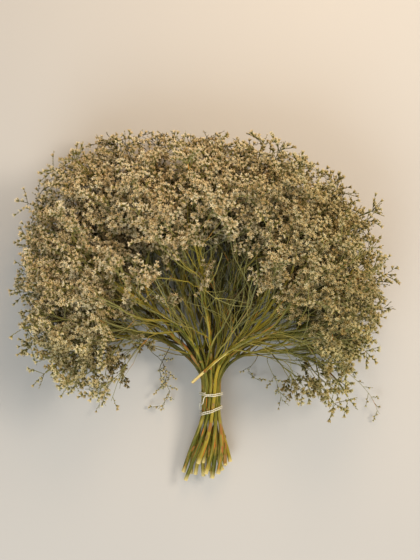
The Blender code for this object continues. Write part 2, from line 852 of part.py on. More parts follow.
def buildSpray(name, grown, material):
    """One closed body: the stem with its branches and florets."""
    bm = bmesh.new()
    sides = stem["sides"]
    end, walls = startTube(bm, grown["rings"], sides)
    end, segments = growTube(bm, end, grown["rings"][2:], sides)
    segments.insert(0, walls)
    for bloom in grown["blooms"]:
        face = end if bloom["side"] < 0 else segments[bloom["segment"]][bloom["side"]]
        growFloret(bm, face, bloom)
    for limb in grown["branches"]:
        wall = segments[limb["segment"]][limb["side"]]
        root = wall.loops[0].vert, wall.loops[2].vert
        bmesh.utils.face_split(wall, *root)
        tip, limbSegments = growTube(bm, wall, limb["rings"][1:], branch["sides"])
        for bloom in limb["blooms"]:
            face = tip if bloom["side"] < 0 else limbSegments[bloom["segment"]][bloom["side"]]
            growFloret(bm, face, bloom)
    bmesh.ops.triangulate(bm, faces=bm.faces)
    return finish(bm, name, material)


def finish(bm, name, material):
    mesh = bpy.data.meshes.new(name)
    bm.to_mesh(mesh)
    bm.free()
    mesh.shade_smooth()
    mesh.set_sharp_from_angle(angle=math.radians(sharpDeg))
    mesh.materials.append(material)
    obj = bpy.data.objects.new(name, mesh)
    bpy.context.scene.collection.objects.link(obj)
    return obj


def aroundBundle(corners, s):
    """A point on the string's way round the hexagon, by the corners passed and the place along the bundle."""
    nearest = math.floor(corners + 0.5)
    hexAngle = math.radians(60 * nearest)
    reach = 2 * bunch["stemPitch"]
    centre = bundlePoint(reach * math.cos(hexAngle), reach * math.sin(hexAngle), s)
    middle = bundlePoint(0, 0, s)
    outward = math.atan2(centre.z - middle.z, centre.x - middle.x)
    turned = outward + math.radians(string["arcDeg"]) * (corners - nearest)
    out = (stem["radius"] + string["gap"] + string["radius"]) / math.cos(math.radians(string["arcDeg"] / 2))
    return centre + Vector((math.cos(turned), 0, math.sin(turned))) * out


def stringPoints():
    """The string's centre line: turns above, a run down the side, turns below and a short loose end."""
    high = string["corners"] / 6 * string["pitch"] / 2
    stretches = (
        (string["upperAt"] + high, string["upperAt"] - high, string["corners"]),
        (string["upperAt"] - high, string["lowerAt"] + high, string["linkCorners"]),
        (string["lowerAt"] + high, string["lowerAt"] - high, string["corners"]),
        (string["lowerAt"] - high, string["lowerAt"] - high - string["tail"], string["tailCorners"]),
    )
    points = []
    passed = string["firstCorner"]
    for top, bottom, count in stretches:
        for k in range(count):
            for side in (-string["bendShare"], string["bendShare"]):
                share = (k + 0.5 + side) / count
                points.append(aroundBundle(passed + k + side, top + (bottom - top) * share))
        passed += count
    return points


def buildString(name, material):
    points = stringPoints()
    rings = ringsAlong(points, [string["radius"]] * len(points), Vector((0, 1, 0)))
    bm = bmesh.new()
    end, walls = startTube(bm, rings, string["sides"])
    growTube(bm, end, rings[2:], string["sides"])
    bmesh.ops.triangulate(bm, faces=bm.faces)
    return finish(bm, name, material)


def newMaterial(name, colour, roughness):
    material = bpy.data.materials.new(name)
    material.use_nodes = True
    shader = material.node_tree.nodes["Principled BSDF"]
    shader.inputs["Base Color"].default_value = (*colour, 1)
    shader.inputs["Roughness"].default_value = roughness
    shader.inputs["Metallic"].default_value = 0.0
    material.diffuse_color = (*colour, 1)
    return material


def main():
    for obj in list(bpy.data.objects):
        bpy.data.objects.remove(obj, do_unlink=True)
    stems = layOut()
    objects = []
    rows = [row for row, count in enumerate(bunch["rowCounts"]) for place in range(count)]
    for number, grown in enumerate(stems):
        if number == len(rows):
            name, colour = "spray_loose_on_top", (0.62, 0.50, 0.24)
        else:
            name = f"spray_row{rows[number] + 1}_{number - rows.index(rows[number]) + 1}"
            colour = (0.52 + 0.02 * rows[number], 0.47, 0.27)
        objects.append(buildSpray(name, grown, newMaterial(name, colour, 0.8)))
    objects.append(buildString("tie_string", newMaterial("tie_string", (0.83, 0.80, 0.62), 0.9)))
    corners = [v.co for obj in objects for v in obj.data.vertices]
    middle = Vector([(min(c[i] for c in corners) + max(c[i] for c in corners)) / 2 for i in range(2)] + [0])
    for obj in objects:
        obj.data.transform(Matrix.Translation(-middle))


main()
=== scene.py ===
import math
import random

import bmesh
import bpy
import numpy as np
from mathutils import Matrix, Quaternion, Vector
from mathutils.bvhtree import BVHTree


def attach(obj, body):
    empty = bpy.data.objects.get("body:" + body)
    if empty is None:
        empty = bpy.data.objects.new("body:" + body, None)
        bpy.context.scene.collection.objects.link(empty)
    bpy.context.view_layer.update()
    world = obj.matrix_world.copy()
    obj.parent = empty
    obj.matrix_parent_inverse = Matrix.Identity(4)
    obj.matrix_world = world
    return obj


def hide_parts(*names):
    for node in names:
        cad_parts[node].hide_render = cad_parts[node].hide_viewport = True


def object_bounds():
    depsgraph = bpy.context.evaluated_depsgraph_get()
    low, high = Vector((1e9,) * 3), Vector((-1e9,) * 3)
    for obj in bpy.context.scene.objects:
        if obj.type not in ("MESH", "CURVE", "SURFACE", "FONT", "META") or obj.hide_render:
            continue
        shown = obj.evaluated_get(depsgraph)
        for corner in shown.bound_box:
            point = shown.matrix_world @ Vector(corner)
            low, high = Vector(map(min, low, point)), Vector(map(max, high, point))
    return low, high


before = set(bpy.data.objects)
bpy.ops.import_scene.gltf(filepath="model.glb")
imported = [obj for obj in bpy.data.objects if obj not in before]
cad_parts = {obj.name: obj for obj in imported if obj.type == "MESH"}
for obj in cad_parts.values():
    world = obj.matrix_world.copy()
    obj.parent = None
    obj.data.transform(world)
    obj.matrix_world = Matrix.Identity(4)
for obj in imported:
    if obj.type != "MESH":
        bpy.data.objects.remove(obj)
cadBox = [list(end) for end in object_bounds()]

mm = 0.001

# The plan of the bunch. These values are the CAD's own, so that each stem, twig and flower head lies where
# its solid does. Lengths are in metres, and places are measured from the middle of the binding.
bunch = {
    "seed": 5,
    "rowCounts": (3, 4, 5, 4, 3),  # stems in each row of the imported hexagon, lowest row first
    "stemPitch": 4.62 * mm,
    "cutEndsBelow": 69 * mm,
    "cutEndsVary": 25 * mm,
    "endsAside": -4 * mm,
    "neckAbove": 20 * mm,  # where the stems start to fan
    "neckHeight": 31 * mm,
    "endsHeight": 13.6 * mm,
    "lyingBelow": 6 * mm,  # a stem whose cut end comes lower than this lies on the surface
    "lyingRun": 24 * mm,
    "lyingEase": 36 * mm,
    "endsSplayAcross": 3.4,
    "endsSplayUp": 1.3,
    "splayFrom": -12 * mm,
    "twistDeg": 74,
}

stem = {
    "sides": 5,
    "radius": 2.1 * mm,
    "topRadius": 1.0 * mm,  # where its flowers start
    "stations": (-58 * mm, -34 * mm, -12 * mm, 12 * mm),  # rings in the bundle, apart from its two ends
    "fanStation": 34 * mm,  # from one ring to the next above the neck, where no branch is
    "sway": (1.0 * mm, 2.2 * mm),
    "swayWaves": 9,  # radians of sway over the fanned length
    "taperPower": 0.8,
    "angleVary": 3,
    "heightVary": 4 * mm,
    "reachVary": 0.02,
    "tries": 40,
}

# Of each row of stems: the angles of their tips from +Y towards +X, how high these are, and their share
# of the canopy's reach
fan = (
    {"angles": (-84, 1, 84), "height": 20 * mm, "reach": 0.96},
    {"angles": (-64, -22, 32, 66), "height": 44 * mm, "reach": 0.98},
    {"angles": (-89, -43, 11, 43, 95), "height": 72 * mm, "reach": 1.0},
    {"angles": (-75, -32, 21, 76), "height": 98 * mm, "reach": 0.94},
    {"angles": (-53, -9, 54), "height": 118 * mm, "reach": 0.86},
)

# How a fanned stem arches: its heading turns fast at first, as the water of a fountain does
arch = {
    "bend": 1.08,  # of its tip's angle
    "turn": 1.45,  # of the bend, that its heading turns in all
    "turnPower": 0.6,
    "chord": 0.74,  # of the bend, as half the angle of the arc whose chord is its reach
    "evenClimb": 0.35,  # share of its rise that is even
}


# A table of (angle, length) rows, whose lengths are written in mm
def inMm(*rows):
    return [(angle, length * mm) for angle, length in rows]


# The canopy's reach from the neck's middle, by angle from +Y towards +X
canopyOutline = inMm(
    (-135, 40), (-108, 52), (-98, 98), (-89, 150), (-72, 212), (-56, 244), (-40, 284), (-30, 297), (-16, 286),
    (0, 276), (20, 268), (48, 246), (58, 218), (68, 196), (82, 144), (98, 130), (108, 112), (135, 40),
)
# How far from the neck's middle the flowers start
flowersFrom = inMm((-110, 104), (-75, 96), (-40, 80), (0, 76), (40, 62), (110, 48))
canopy = {
    "rimHeight": 66 * mm,
    "rise": 88 * mm,  # of the dome above its rim
    "power": 2.6,  # how square the dome is
    "slack": 4 * mm,
}

# The shorter stem that lies across the others: its route in plan from its cut end, in mm
loose = {
    "route": ((-21, 23), (10, 52), (43, 79), (92, 112), (160, 132)),
    "tipHeight": 122 * mm,
    "tipVary": 8 * mm,
}

branch = {
    "rootSpacing": 20 * mm,
    "sides": 3,
    "firstAt": 0.24,  # of the stem's fanned length
    "lastAt": 0.9,
    "anglesDeg": (34, 56),
    "longest": 100 * mm,
    "shortest": 64 * mm,
    "lengthShare": (0.8, 1.1),
    "bendOut": 0.55,  # share of its first direction that it has lost at its tip
    "lowerOutward": 0.4,  # how much less than the way out in plan the way up counts
    "shift": 6 * mm,  # of a root, either way
    "rootLength": 3.2 * mm,
    "rootRadius": 1.05 * mm,
    "radius": 2.0 * mm,  # where its flowers start
    "tipRadius": 1.3 * mm,
    "bare": 14 * mm,
    "bareShare": 0.25,
    "longStation": 34 * mm,
    "aboveSurface": 2 * mm,
    "flowerSegment": 13 * mm,
    "leaderFlowers": 0.16,  # of the stem's fanned length
    "leastScore": 2.5,  # florets and newly covered cells that make a branch worth its place
    "cellScore": 0.4,
}

floret = {
    "radius": 13 * mm,
    "depth": 11 * mm,
    "apart": 19 * mm,  # between the middles of two florets' rims
    "lobesOnCorners": {3: 4, 4: 4, 5: 5},  # by how many corners its base has
    "notch": 0.66,  # of the radius, between two lobes
    "dish": 0.45,  # of the depth, how far the middle is sunk
    "leanDeg": 30,  # towards the branch's tip
    "leanVaryDeg": 10,
    "leastWall": 1.2 * mm,
    "sizeVary": 0.1,
    "turnVary": 0.25,
    "tipTurnVary": 0.2,
    "coverCell": 9 * mm,  # of the plan grid that counts what the florets cover
    "coverCells": (-0.7, 0, 0.7),  # the cells that one floret covers, from its middle
}

gap = 0.5 * mm  # that the growing stems, twigs and florets keep from each other
step = 3 * mm  # along a path
testPiece = 12 * mm  # the length of the short solids that gaps are tested with

string = {
    "radius": 0.8 * mm,
    "gap": 0.4 * mm,
    "upperAt": 9.5 * mm,
    "lowerAt": -9.5 * mm,
    "corners": 12,  # of the hexagon that each binding passes
    "linkCorners": 2,
    "tailCorners": 1,
    "firstCorner": 2,
    "arcDeg": 44,  # of the bend at each corner
    "pitch": 2.0 * mm,
    "tail": 22 * mm,
    "bendShare": 0.49,  # how far to either side of a corner its bend reaches
}


# The value at x of a table of (x, value) rows, joined by straight lines
def between(table, x):
    if x <= table[0][0]:
        return table[0][1]
    for (x0, y0), (x1, y1) in zip(table, table[1:]):
        if x <= x1:
            return y0 + (y1 - y0) * (x - x0) / (x1 - x0)
    return table[-1][1]


# A ramp from 0 to 1 that starts and ends level
def level(t):
    t = min(1.0, max(0.0, t))
    return t * t * (3 - 2 * t)


# A point's distance from the neck's middle in plan, and its angle from +Y towards +X in degrees
def fromNeck(point):
    y = point.y - bunch["neckAbove"]
    return math.hypot(point.x, y), math.degrees(math.atan2(point.x, y))


# How high the canopy is at a share of its reach
def domeHeight(share):
    return canopy["rimHeight"] + canopy["rise"] * math.sqrt(max(0, 1 - share ** canopy["power"]))


# Whether a point lies in the dome that the sprays fill together
def insideCanopy(point, slack):
    distance, angle = fromNeck(point)
    share = distance / (between(canopyOutline, angle) + slack)
    return share < 1 and point.z < domeHeight(share) + slack


def vary(rng, most):
    return rng.uniform(-1, 1) * most


def pathLength(path):
    return (len(path) - 1) * step


# A direction that leans so many degrees from one way towards another, square to it
def leaning(along, aside, degrees):
    lean = math.radians(degrees)
    return along * math.cos(lean) + aside * math.sin(lean)


# Everything placed so far, in a grid of cells, so that what is near a place is found quickly
class Room:

    def __init__(self):
        self.cell = 32 * mm
        self.cells = {}
        self.rims = []

    def key(self, p):
        return tuple(int(math.floor(c / self.cell)) for c in p)

    def add(self, solids):
        for solid in solids:
            self.cells.setdefault(self.key(solid["middle"]), []).append(solid)

    def near(self, p, reach):
        kx, ky, kz = self.key(p)
        for x in (kx - 1, kx, kx + 1):
            for y in (ky - 1, ky, ky + 1):
                for z in (kz - 1, kz, kz + 1):
                    for solid in self.cells.get((x, y, z), ()):
                        if (solid["middle"] - p).length < solid["reach"] + reach:
                            yield solid

    def closeTo(self, p, distance, skip=()):
        return any(
            solid["tree"].find_nearest(p, distance)[0] is not None
            for solid in self.near(p, distance)
            if solid["of"] not in skip
        )

    def crosses(self, solid, skip=()):
        return any(
            solid["tree"].overlap(other["tree"])
            for other in self.near(solid["middle"], solid["reach"])
            if other["of"] not in skip
        )


# A small solid for the tests of Room, with the middle and radius of a ball round it
def asSolid(points, faces, of):
    middle = sum(points, Vector()) / len(points)
    reach = max((p - middle).length for p in points)
    return {"tree": BVHTree.FromPolygons(points, faces), "middle": middle, "reach": reach, "of": of}


# A direction square to a ring's own, at an angle round it
def roundRing(ring, angle):
    return ring["across"] * math.cos(angle) + ring["along"].cross(ring["across"]) * math.sin(angle)


def corner(ring, k, sides):
    return ring["at"] + roundRing(ring, 2 * math.pi * k / sides) * ring["radius"]


# Which way the side between corners side and side + 1 of a tube faces, from ring a to ring b
def sideNormal(a, b, side, sides):
    angle = 2 * math.pi * (side + 0.5) / sides
    return (roundRing(a, angle) + roundRing(b, angle)).normalized()


def tubeSolid(a, b, sides, of):
    points = [corner(ring, k, sides) for ring in (a, b) for k in range(sides)]
    faces = [(k, (k + 1) % sides, sides + (k + 1) % sides, sides + k) for k in range(sides)]
    return asSolid(points, faces, of)


# Short test solids along a tube
def tubePieces(rings, sides, of):
    for a, b in zip(rings, rings[1:]):
        pieces = max(1, round((b["at"] - a["at"]).length / testPiece))
        ends = []
        for k in range(pieces + 1):
            share = k / pieces
            radius = a["radius"] + (b["radius"] - a["radius"]) * share
            ends.append(dict(a, at=a["at"].lerp(b["at"], share), radius=radius))
        for near, far in zip(ends, ends[1:]):
            yield tubeSolid(near, far, sides, of)


# Rings that are a gap wider, to test whether a tube is clear of what is there
def swollen(rings):
    return [dict(ring, radius=ring["radius"] + gap) for ring in rings]


# Rings of a tube: middle, direction, radius and the way to the first corner, carried without a twist
def ringsAlong(points, radii, across):
    rings = []
    before = (points[1] - points[0]).normalized()
    across = (across - before * across.dot(before)).normalized()
    for i, (point, radius) in enumerate(zip(points, radii)):
        last = min(i + 1, len(points) - 1)
        along = (points[last] - points[max(i - 1, 0)]).normalized()
        across = before.rotation_difference(along) @ across
        across = (across - along * across.dot(along)).normalized()
        before = along
        rings.append({"at": point, "along": along, "radius": radius, "across": across})
    return rings


# The point and direction at a distance along a path of points that are a step apart
def alongPath(path, distance):
    at = min(max(distance / step, 0), len(path) - 1.001)
    i = int(at)
    ahead = path[min(i + 2, len(path) - 1)] - path[max(i - 1, 0)]
    return path[i].lerp(path[i + 1], at - i), ahead.normalized()


# Where a stem that is packed at (across, up) is at s along the bundle, from the cut ends to the neck
def bundlePoint(across, up, s):
    above = bunch["neckAbove"]
    below = bunch["cutEndsBelow"] + bunch["cutEndsVary"]
    turn = math.radians(bunch["twistDeg"]) * (above - s) / (above + below)
    share = max(0.0, (bunch["splayFrom"] - s) / (below + bunch["splayFrom"]))
    x = across * math.cos(turn) - up * math.sin(turn)
    z = across * math.sin(turn) + up * math.cos(turn)
    axis = bunch["neckHeight"] + (bunch["neckHeight"] - bunch["endsHeight"]) * (s - above) / (above + below)
    wide = 1 + (bunch["endsSplayAcross"] - 1) * share
    high = 1 + (bunch["endsSplayUp"] - 1) * share
    return Vector((x * wide + bunch["endsAside"] * share, s, axis + z * high))


# (row, place in the row, across, up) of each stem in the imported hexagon
def bundlePlaces():
    pitch = bunch["stemPitch"]
    for row, count in enumerate(bunch["rowCounts"]):
        for place in range(count):
            yield row, place, (place - (count - 1) / 2) * pitch, (row - 2) * pitch * math.sqrt(0.75)


# A stem's way from the neck to its tip
def fannedPath(start, angle, top, reach, rng):
    bend = math.radians(angle) * arch["bend"]
    half = abs(bend) * arch["chord"]
    length = reach / (math.sin(half) / half if half > 0.01 else 1)
    count = int(length / step)
    wave, phase = rng.uniform(*stem["sway"]), rng.uniform(0, 2 * math.pi)
    path = []
    x, y = start.x, start.y
    for i in range(count):
        t = i / count
        heading = bend * arch["turn"] * t ** arch["turnPower"]
        x += step * math.sin(heading)
        y += step * math.cos(heading)
        sway = wave * math.sin(phase + stem["swayWaves"] * t) * level(4 * t)
        z = start.z + (top - start.z) * (arch["evenClimb"] * t + (1 - arch["evenClimb"]) * level(t))
        path.append(Vector((x + sway * math.cos(heading), y - sway * math.sin(heading), z)))
    return path


# Lays the cut end of a low stem flat on the surface
def layEnd(path):
    run = round(bunch["lyingRun"] / step)
    ease = round(bunch["lyingEase"] / step)
    lying = stem["radius"] * math.cos(math.pi / stem["sides"])
    drop = path[run].z - lying
    for k, p in enumerate(path[: run + ease]):
        p.z = lying if k <= run + 1 else p.z - drop * (1 - level((k - run - 1) / ease))


# A packed stem. Its fanned part is drawn anew until it is clear of the stems that are already there
def packedStem(row, place, across, up, rng, room):
    below = bunch["cutEndsBelow"] + bunch["cutEndsVary"] * rng.uniform(-0.1, 1)
    count = int((below + bunch["neckAbove"]) / step)
    places = [bunch["neckAbove"] - step * (count - i) for i in range(count + 1)]
    inBundle = [bundlePoint(across, up, s) for s in places]
    lies = inBundle[0].z < bunch["lyingBelow"]
    if lies:
        layEnd(inBundle)
    start = bunch["lyingRun"] if lies else 0.0
    stations = [0.0] + ([start] if lies else [])
    stations += [s - places[0] for s in stem["stations"] if s - places[0] > start + testPiece]
    neck = pathLength(inBundle)
    for attempt in range(stem["tries"]):
        angle = fan[row]["angles"][place] + vary(rng, stem["angleVary"])
        reach = between(canopyOutline, angle) * fan[row]["reach"]
        reach *= 1 + vary(rng, stem["reachVary"])
        top = fan[row]["height"] + vary(rng, stem["heightVary"])
        path = inBundle + fannedPath(inBundle[-1], angle, top, reach, rng)
        grown = {"path": path, "neck": neck, "stations": stations + [neck], "branches": [], "lies": lies}
        ringStem(grown, rng)
        if isClear(grown, room):
            return grown
    raise RuntimeError("a stem finds no way through the fan: change the seed or the angles")


# Whether a stem is clear of the others above the neck
def isClear(grown, room):
    start = bunch["neckAbove"] + 4 * stem["radius"]
    above = [ring for ring in swollen(grown["rings"]) if ring["at"].y > start]
    return not any(room.crosses(piece) for piece in tubePieces(above, stem["sides"], 0))


# A point between points i and i + 1 of a smooth curve through all of them
def curvePoint(points, i, t):
    a, b = points[max(i - 1, 0)], points[i]
    c, d = points[i + 1], points[min(i + 2, len(points) - 1)]
    squared = (2 * a - 5 * b + 4 * c - d) * t**2
    cubed = (3 * b - a - 3 * c + d) * t**3
    return (2 * b + (c - a) * t + squared + cubed) / 2


# Points a step apart on a smooth curve through the given points
def curveThrough(points):
    fine = [curvePoint(points, i, k / 30) for i in range(len(points) - 1) for k in range(30)]
    path = [fine[0]]
    for p in fine:
        while (p - path[-1]).length >= step:
            path.append(path[-1] + (p - path[-1]).normalized() * step)
    return path


# Points about so far apart on a smooth curve, which keeps the given points
def smoothWay(points, spacing):
    fine = []
    for i, (a, b) in enumerate(zip(points, points[1:])):
        count = max(2, int((b - a).length / spacing))
        fine += [curvePoint(points, i, k / count) for k in range(count)]
    return fine + [points[-1]]


# The stem on top. It rests on a stem that it crosses near its cut end, and rises clear of all others
def looseStem(stems, rng, room):
    plan = curveThrough([Vector((x * mm, y * mm, 0)) for x, y in loose["route"]])
    last = len(plan) - 1
    for attempt in range(stem["tries"]):
        tip = loose["tipHeight"] + vary(rng, loose["tipVary"])
        rise = None
        for i, p in enumerate(plan[: last // 2]):
            for other in stems:
                for q in other["path"]:
                    if math.hypot(q.x - p.x, q.y - p.y) < 2 * stem["radius"]:
                        most = (tip - q.z - 2 * stem["radius"] - gap) / (last - i)
                        rise = most if rise is None else min(rise, most)
        path = [Vector((p.x, p.y, tip - rise * (last - i))) for i, p in enumerate(plan)]
        grown = {"path": path, "neck": 0.0, "stations": [0.0], "branches": [], "lies": False}
        ringStem(grown, rng)
        if isClear(grown, room):
            return grown
    raise RuntimeError("the loose stem finds no way over the others: change its route or height")


# Which of the points round a floret's rim stands over corner k of its base, of so many corners
def rimPlace(k, count, around):
    return round(around * k / count)


def stemRadius(grown, distance):
    fanned = pathLength(grown["path"]) - grown["neck"]
    flowering = grown["neck"] + fanned * (1 - branch["leaderFlowers"])
    share = max(0.0, distance - grown["neck"]) / (flowering - grown["neck"])
    return stem["radius"] + (stem["topRadius"] - stem["radius"]) * min(1.0, share) ** stem["taperPower"]


# The corners of the floret's base, the points round its rim and its sunk middle. For tests its sides
# can be swollen, and its base moved up a share of its wall
def floretPoints(bloom, swell=0.0, base=0.0):
    axis = bloom["axis"]
    rim = bloom["rim"]
    count = len(bloom["base"])
    onSide = count == 4
    square = (bloom["base"][0] + bloom["base"][1 if onSide else 0]) / 2 - bloom["foot"]
    square = (square - axis * square.dot(axis)).normalized()
    other = axis.cross(square)
    start = bloom["turn"] - (math.pi / 4 if onSide else 0)
    rimPoints = []
    around = 2 * floret["lobesOnCorners"][count]
    for k in range(around):
        angle = start + 2 * math.pi * k / around
        out = bloom["radius"] * (1 if k % 2 == 0 else floret["notch"]) + swell
        rimPoints.append(rim + (square * math.cos(angle) + other * math.sin(angle)) * out)
    middle = rim - axis * (bloom["depth"] * floret["dish"])
    feet = []
    for i, p in enumerate(bloom["base"]):
        out = p - bloom["foot"]
        out = (out - axis * out.dot(axis)).normalized()
        feet.append(p.lerp(rimPoints[rimPlace(i, count, around)], base) + out * swell)
    return feet, rimPoints, middle


# The floret as a test solid. It starts a little above its base, which it shares with its branch
def floretSolid(bloom, of, swell=0.0, above=0.25):
    feet, rim, middle = floretPoints(bloom, swell, above)
    count, around = len(feet), len(rim)
    faces = wallFaces(count, around)
    raised = bloom["axis"] * swell
    top = count
    if swell:
        top += around
        for k in range(around):
            onward = (k + 1) % around
            faces.append((count + k, count + onward, top + onward, top + k))
        rim = rim + [p + raised for p in rim]
    faces += [(top + k, top + (k + 1) % around, top + around) for k in range(around)]
    return asSolid(feet + rim + [middle + raised], faces, of)


# The triangles of a floret's wall, as numbers of its base corners and then of its rim's points
def wallFaces(count, around):
    faces = []
    for k in range(count):
        low, onward = k, (k + 1) % count
        start, end = rimPlace(k, count, around), rimPlace(k + 1, count, around)
        rim = [count + r % around for r in range(start, end + 1)]
        faces += [(low, rim[1], rim[0]), (onward, rim[-1], rim[-2]), (low, onward, rim[1])]
        if len(rim) > 3:
            faces.append((onward, rim[-2], rim[1]))
    return faces


# Whether a floret's wall passes well outside its sunk middle all round, and so isn't thin or folded
def isSound(bloom):
    feet, rim, middle = floretPoints(bloom)
    points = feet + rim
    for a, b, c in wallFaces(len(feet), len(rim)):
        outward = (points[b] - points[a]).cross(points[c] - points[a]).normalized()
        if (points[a] - middle).dot(outward) < floret["leastWall"]:
            return False
    return True


def asFloret(segment, side, axis, base, foot, turnVary, rng):
    size = 1 + vary(rng, floret["sizeVary"])
    return {
        "segment": segment,
        "side": side,
        "axis": axis,
        "base": base,
        "foot": foot,
        "rim": foot + axis * floret["depth"] * size,
        "depth": floret["depth"] * size,
        "radius": floret["radius"] * size,
        "turn": vary(rng, turnVary),
    }


# A floret on one side of a tube between two rings, leaning towards the tip
def floretOn(rings, segment, side, sides, rng):
    a, b = rings[segment], rings[segment + 1]
    lean = floret["leanDeg"] + vary(rng, floret["leanVaryDeg"])
    axis = leaning(sideNormal(a, b, side, sides), (b["at"] - a["at"]).normalized(), lean).normalized()
    base = [corner(a, side, sides), corner(a, side + 1, sides)]
    base += [corner(b, side + 1, sides), corner(b, side, sides)]
    return asFloret(segment, side, axis, base, sum(base, Vector()) / 4, floret["turnVary"], rng)


# The floret that ends a tube
def tipFloret(rings, sides, rng):
    end = rings[-1]
    base = [corner(end, k, sides) for k in range(sides)]
    axis, foot = end["along"].copy(), end["at"].copy()
    return asFloret(len(rings) - 1, -1, axis, base, foot, floret["tipTurnVary"], rng)


# Whether a floret is clear of the surface and of everything placed
def floretFits(bloom, room, of, skip):
    if min(p.z for p in floretPoints(bloom)[1]) < 0 or not isSound(bloom):
        return False
    distance, angle = fromNeck(bloom["rim"])
    if distance < between(flowersFrom, angle):
        return False
    if any((rim - bloom["rim"]).length < floret["apart"] for rim in room.rims):
        return False
    return not room.crosses(floretSolid(bloom, of, gap, 0.03), skip)


# The florets that find room on a tube, from segment first to its tip
def dressTube(rings, first, sides, rng, room, of, skip=()):
    own = [tubeSolid(a, b, sides, k) for k, (a, b) in enumerate(zip(rings, rings[1:]))]
    blooms, solids = [], []

    def place(bloom):
        if not floretFits(bloom, room, of, skip):
            return False
        solid = floretSolid(bloom, of, gap)
        upper = floretSolid(bloom, of, gap, 0.6)
        for k, tube in enumerate(own):
            if (solid if abs(k - bloom["segment"]) > 1 else upper)["tree"].overlap(tube["tree"]):
                return False
        whole = floretSolid(bloom, of, 0.0, 0.03)
        for other in solids:
            if solid["tree"].overlap(other["tree"]) or whole["tree"].overlap(other["tree"]):
                return False
        if any((other["rim"] - bloom["rim"]).length < floret["apart"] for other in blooms):
            return False
        blooms.append(bloom)
        solids.append(whole)
        return True

    place(tipFloret(rings, sides, rng))
    for segment in reversed(range(first, len(rings) - 1)):
        order = list(range(sides))
        rng.shuffle(order)
        for side in order:
            if place(floretOn(rings, segment, side, sides, rng)):
                break
    return blooms, solids


# A branch's centre line: it leaves its stem at an angle, bends outwards and stops short of other things
def branchPath(start, along, normal, angle, length, room, of):
    first = leaning(along, normal, angle)
    path = [start.copy()]
    count = int(length / step)
    for k in range(1, count + 1):
        t = k / count
        here = path[-1]
        outward = Vector((here.x, here.y - bunch["neckAbove"], here.z * branch["lowerOutward"]))
        bent = branch["bendOut"] * t
        direction = first * (1 - bent) + (along + outward.normalized()) * bent / 2
        after = here + direction.normalized() * step
        after.z = max(after.z, branch["radius"] + branch["aboveSurface"])
        if not insideCanopy(after, canopy["slack"]):
            break
        if k > 1 and room.closeTo(after, branch["radius"] + gap, () if k > 5 else (("stem", of),)):
            break
        path.append(after)
    return path


# The radii of a tube's rings along its flowers
def floweringRadii(segments):
    change = branch["tipRadius"] - branch["radius"]
    return [branch["radius"] + change * k / segments for k in range(segments + 1)]


# A branch with its rings and florets, or None where none fits. It ends at its last floret
def growBranch(root, along, normal, angle, length, rng, room, of):
    path = branchPath(root, along, normal, angle, length, room, of)
    length = pathLength(path)
    bare = max(branch["bare"], branch["bareShare"] * length)
    while bare < length:
        distance, around = fromNeck(alongPath(path, bare)[0])
        if distance > between(flowersFrom, around):
            break
        bare += step
    segments = int(round((length - bare) / branch["flowerSegment"]))
    if segments < 1:
        return None
    count = max(1, math.ceil(bare / branch["longStation"]))
    places = [bare * k / count for k in range(count)]
    places += [bare + (length - bare) * k / segments for k in range(segments + 1)]
    radii = [branch["rootRadius"]] * count + floweringRadii(segments)
    points = [alongPath(path, d)[0] for d in places]
    rings = ringsAlong(points, radii, along)
    for k, piece in enumerate(tubePieces(swollen(rings), branch["sides"], of)):
        if room.crosses(piece, (("stem", of),) if k == 0 else ()):
            return None
    blooms, solids = dressTube(rings, count, branch["sides"], rng, room, of)
    if not any(bloom["side"] < 0 for bloom in blooms):
        last = max((bloom["segment"] for bloom in blooms), default=0)
        rings = rings[: last + 2]
    return {"rings": rings, "blooms": blooms, "solids": solids}


# Gives a stem its rings: in the bundle, on either side of each branch's root, and along its flowers
def ringStem(grown, rng):
    length = pathLength(grown["path"])
    fanned = length - grown["neck"]
    half = branch["rootLength"] / 2
    flowering = length - fanned * branch["leaderFlowers"]
    segments = max(2, int(round((length - flowering) / branch["flowerSegment"])))
    count = round(fanned * (branch["lastAt"] - branch["firstAt"]) / branch["rootSpacing"])
    roots = []
    for n in range(count):
        share = branch["firstAt"] + (branch["lastAt"] - branch["firstAt"]) * (n + 0.5) / count
        at = grown["neck"] + fanned * share + vary(rng, branch["shift"])
        if at < flowering - branch["rootSpacing"] / 3:
            roots.append(at)
    places = list(grown["stations"])
    for at in roots:
        while at - half - places[-1] > stem["fanStation"] * 1.3:
            places.append(places[-1] + stem["fanStation"])
        places += [at - half, at + half]
    rootSegments = [places.index(at - half) for at in roots]
    first = len(places)
    places += [flowering + (length - flowering) * k / segments for k in range(segments + 1)]
    radii = [stemRadius(grown, d) for d in places[:first]] + floweringRadii(segments)
    points = [alongPath(grown["path"], d)[0] for d in places]
    turn = Matrix.Rotation(math.pi / stem["sides"], 3, points[1] - points[0])
    rings = ringsAlong(points, radii, turn @ Vector((0, 0, -1)))
    if grown["lies"]:
        rings[1].update(along=rings[0]["along"], across=rings[0]["across"])
    grown["rings"] = rings
    grown["roots"] = rootSegments
    grown["first"] = first


# The cells of a plan grid that a branch's florets would be the first to cover
def newCells(blooms, covered):
    cells = set()
    for bloom in blooms:
        cx, cy = bloom["rim"].x / floret["coverCell"], bloom["rim"].y / floret["coverCell"]
        for x in floret["coverCells"]:
            for y in floret["coverCells"]:
                cells.add((int(math.floor(cx + x)), int(math.floor(cy + y))))
    return cells - covered


